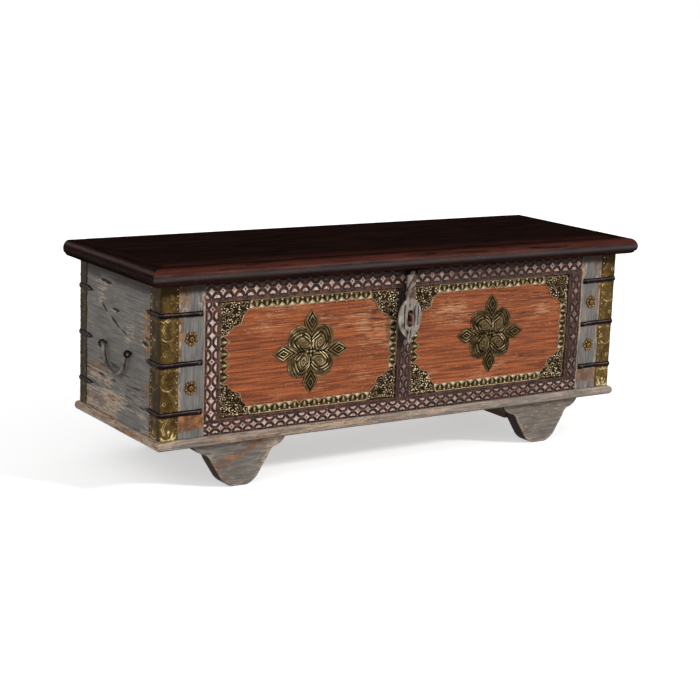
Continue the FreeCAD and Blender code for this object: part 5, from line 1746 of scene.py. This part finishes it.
def hasp():
    """A plate in rings from the slot to the outline, sunk where its crest is low and rounded at both edges, with
    a flat back, and a bar for the knuckle round the pin."""
    _, y, z_pivot = joints["hasp_hinge"]["pos_m"]
    z_middle = (hasp_leaf_top + hasp_leaf_end) / 2
    outline = hasp_outline(z_pivot, z_middle)
    turn = np.arctan2(outline[:, 1], outline[:, 0])
    slot = slot_reach(turn)[:, None] * np.stack([np.cos(turn), np.sin(turn)], -1)
    share = np.concatenate([[0, 0.02], np.linspace(0.05, 0.95, 40), [0.98, 1]])
    a, b = (slot[:, None, k] + (outline - slot)[:, None, k] * share for k in (0, 1))
    crest, rust = hasp_wear(a, b)
    rim = 0.9 * mm * (1 - np.sqrt(np.clip(1 - (np.abs(share - 0.5) * 2) ** 30, 0, 1)))
    rise = hasp_half_thickness - rim - 1.0 * mm * (body_level - crest)
    rise = np.minimum(rise + 0.15 * mm * soft_noise(a / 0.006, b / 0.01, 161), hasp_half_thickness)
    front = np.stack([a, y - rise, b + z_middle], -1)
    rear = np.stack([a, np.full_like(a, y + hasp_half_thickness), b + z_middle], -1)[:, ::-1]
    rings = np.concatenate([front, rear], axis=1)
    plate = rings.reshape(-1, 3), [quads(*rings.shape[:2], True, True)]
    path = np.linspace([-knuckle_half, y, z_pivot], [knuckle_half, y, z_pivot], 9)
    knuckle = bar(path, eased_ends(len(path), knuckle_radius, 0.8, 2), z_way, 24)
    marks = {label: np.concatenate([np.concatenate([on_face, 0 * a + on_back], axis=1).ravel(),
                                    np.full(len(knuckle[0]), on_knuckle)])
             for label, on_face, on_back, on_knuckle in (("crest", crest, 0.4, 0.4), ("rust", rust, 0.0, 0.9))}
    add_piece("worn_hasp", joined([plate, knuckle]), "hasp", hasp_metal, marks, ["hasp_plate"])


hasp()

# %% Staple
def staple():
    """A bar bent to a U: half a circle in front, and two straight legs back into the front board."""
    low, high = corners_of("hasp_staple")
    radius = high[0]
    half = (high[2] - low[2]) / 2 - radius
    middle = (high[2] + low[2]) / 2
    bend_y = low[1] + radius + half
    turn = np.linspace(-np.pi / 2, np.pi / 2, 25)
    bend = np.stack([0 * turn, bend_y - half * np.cos(turn), middle + half * np.sin(turn)], -1)
    leg = np.linspace(high[1], bend_y, 8)[:-1]
    lower = np.stack([0 * leg, leg, 0 * leg + middle - half], -1)
    path = np.concatenate([lower, bend, lower[::-1] + np.array([0, 0, 2 * half])])
    skin = bar(path, eased_ends(len(path), radius * 0.98), x_way)
    add_metal("forged_staple", [(skin, np.full(len(skin[0]), 0.6))], rusty_iron, "hasp_staple")


staple()

# %% [markdown]
# Small nails hold the sheet and the straps. They are all one low dome, a stack of four rings, copied to
# many places at once by adding the template to an array of places.

# %% Nail heads
dome_shares, dome_rises = np.array([1, 1, 0.8, 0.45]), np.array([-0.6, 0.25, 0.75, 0.98])
nail_turns, nail_gap, nail_inset = 10, 13 * mm, 9 * mm
face_nail_inset, strap_clearance, top_clearance = 34 * mm, 8 * mm, 6 * mm
strap_nail_insets, strap_nail_lifts = (81 * mm, 53 * mm), (4.3 * mm, 3.4 * mm)  # on the face and on the side


def nail_heads(name, places, out, crest, radius, rise, material):
    """Domes on an array of places: each ring is a circle across the outward direction, narrower as it rises."""
    turn = full_turn(nail_turns)
    flat = np.cos(turn)[:, None] * np.cross(out, z_way)[:, None, :] + np.sin(turn)[:, None] * z_way
    rings = radius * dome_shares[:, None, None] * flat[:, None]
    points = places[:, None, None, :] + rings + rise * dome_rises[:, None, None] * out[:, None, None, :]
    each = len(dome_shares) * nail_turns
    shift = each * np.arange(len(places))[:, None, None]
    faces = [(block + shift).reshape(-1, block.shape[1]) for block in loft(points[0])[1]]
    add_piece(name, (points.reshape(-1, 3), faces), "trunk", material, {"crest": np.repeat(crest, each)})


print("nail heads ready")

# %% Nail rows
def corner_nails(face_inset, side_insets, lifts, heights, rear_heights):
    """Places and outward directions of two rows of nails up every corner, one on its face, one on its side."""
    places, outs = [], []
    for _, outward in sides:
        for (row, toward_y, y, _), side_inset in zip(rows, side_insets):
            on_face = np.array([outward * (end_x - face_inset), y - toward_y * lifts[0], 0])
            on_side = np.array([outward * (end_x + lifts[1]), y + toward_y * side_inset, 0])
            face_heights = rear_heights if row == "rear" else heights
            for spot, z, out in ((on_face, face_heights, -toward_y * y_way), (on_side, heights, outward * x_way)):
                places.append(spot + z[:, None] * z_way)
                outs.append(np.broadcast_to(out, places[-1].shape))
    return np.concatenate(places), np.concatenate(outs)


# A row up each free edge of the brass, broken where a strap crosses it. The open lid's rail comes down on the
# topmost nail at the back, so that one is left out. Straps have a nail near each end.
low, high = corners_of("corner_brass_front_left")
strap_z, angle_z = np.array(strap_heights), np.arange(low[2] + nail_inset, high[2] - top_clearance, nail_gap)
angle_z = angle_z[np.abs(angle_z[:, None] - strap_z).min(1) > strap_clearance]
side_insets = [side_leg - nail_inset for *_, side_leg in rows]
places, outs = corner_nails(face_nail_inset, side_insets, (angle_thickness, angle_thickness), angle_z, angle_z[:-1])
# The nails on the back corners get a lower crest than those in front, as painted shade.
nail_heads("angle_nails", places, outs, np.where(places[:, 1] < 0, 0.72, 0.4), 1.4 * mm, 1.1 * mm,
           angle_brass)
places, outs = corner_nails(strap_nail_insets[0], strap_nail_insets[1:] * 2, strap_nail_lifts, strap_z, strap_z)
nail_heads("strap_nails", places, outs, np.full(len(places), 0.75), 2.3 * mm, 1.3 * mm, forged_iron)

# %% [markdown]
# The frame's remaining nodes keep their own meshes and only take better finishes: boards inside and
# under the trunk, hinges, pins and eyes.

# %% Finishes for the nodes that stay
kept_finishes = [
    (bare_along_x, ("front_board", "bottom_planks")),
    (bare_along_y, ("bearer_left", "bearer_right", "lid_batten_left", "lid_batten_right")),
    (lid_along_x, ("lid_rear_rail",)),
    (forged_iron, ("hinge_leaf_body_left", "hinge_leaf_body_right", "hinge_leaf_lid_left", "hinge_leaf_lid_right",
                   "hinge_pins", "hasp_eye_plate", "hasp_pin")),
]
finished = set()
for material, nodes in kept_finishes:
    for node in nodes:
        slots = frame["nodes"][node].data.materials
        slots.clear()
        slots.append(material)
        finished.add(node)
bare_nodes = sorted(n for n, o in frame["nodes"].items() if not o.hide_render and n not in finished)
print("nodes with a frame finish left:", bare_nodes)
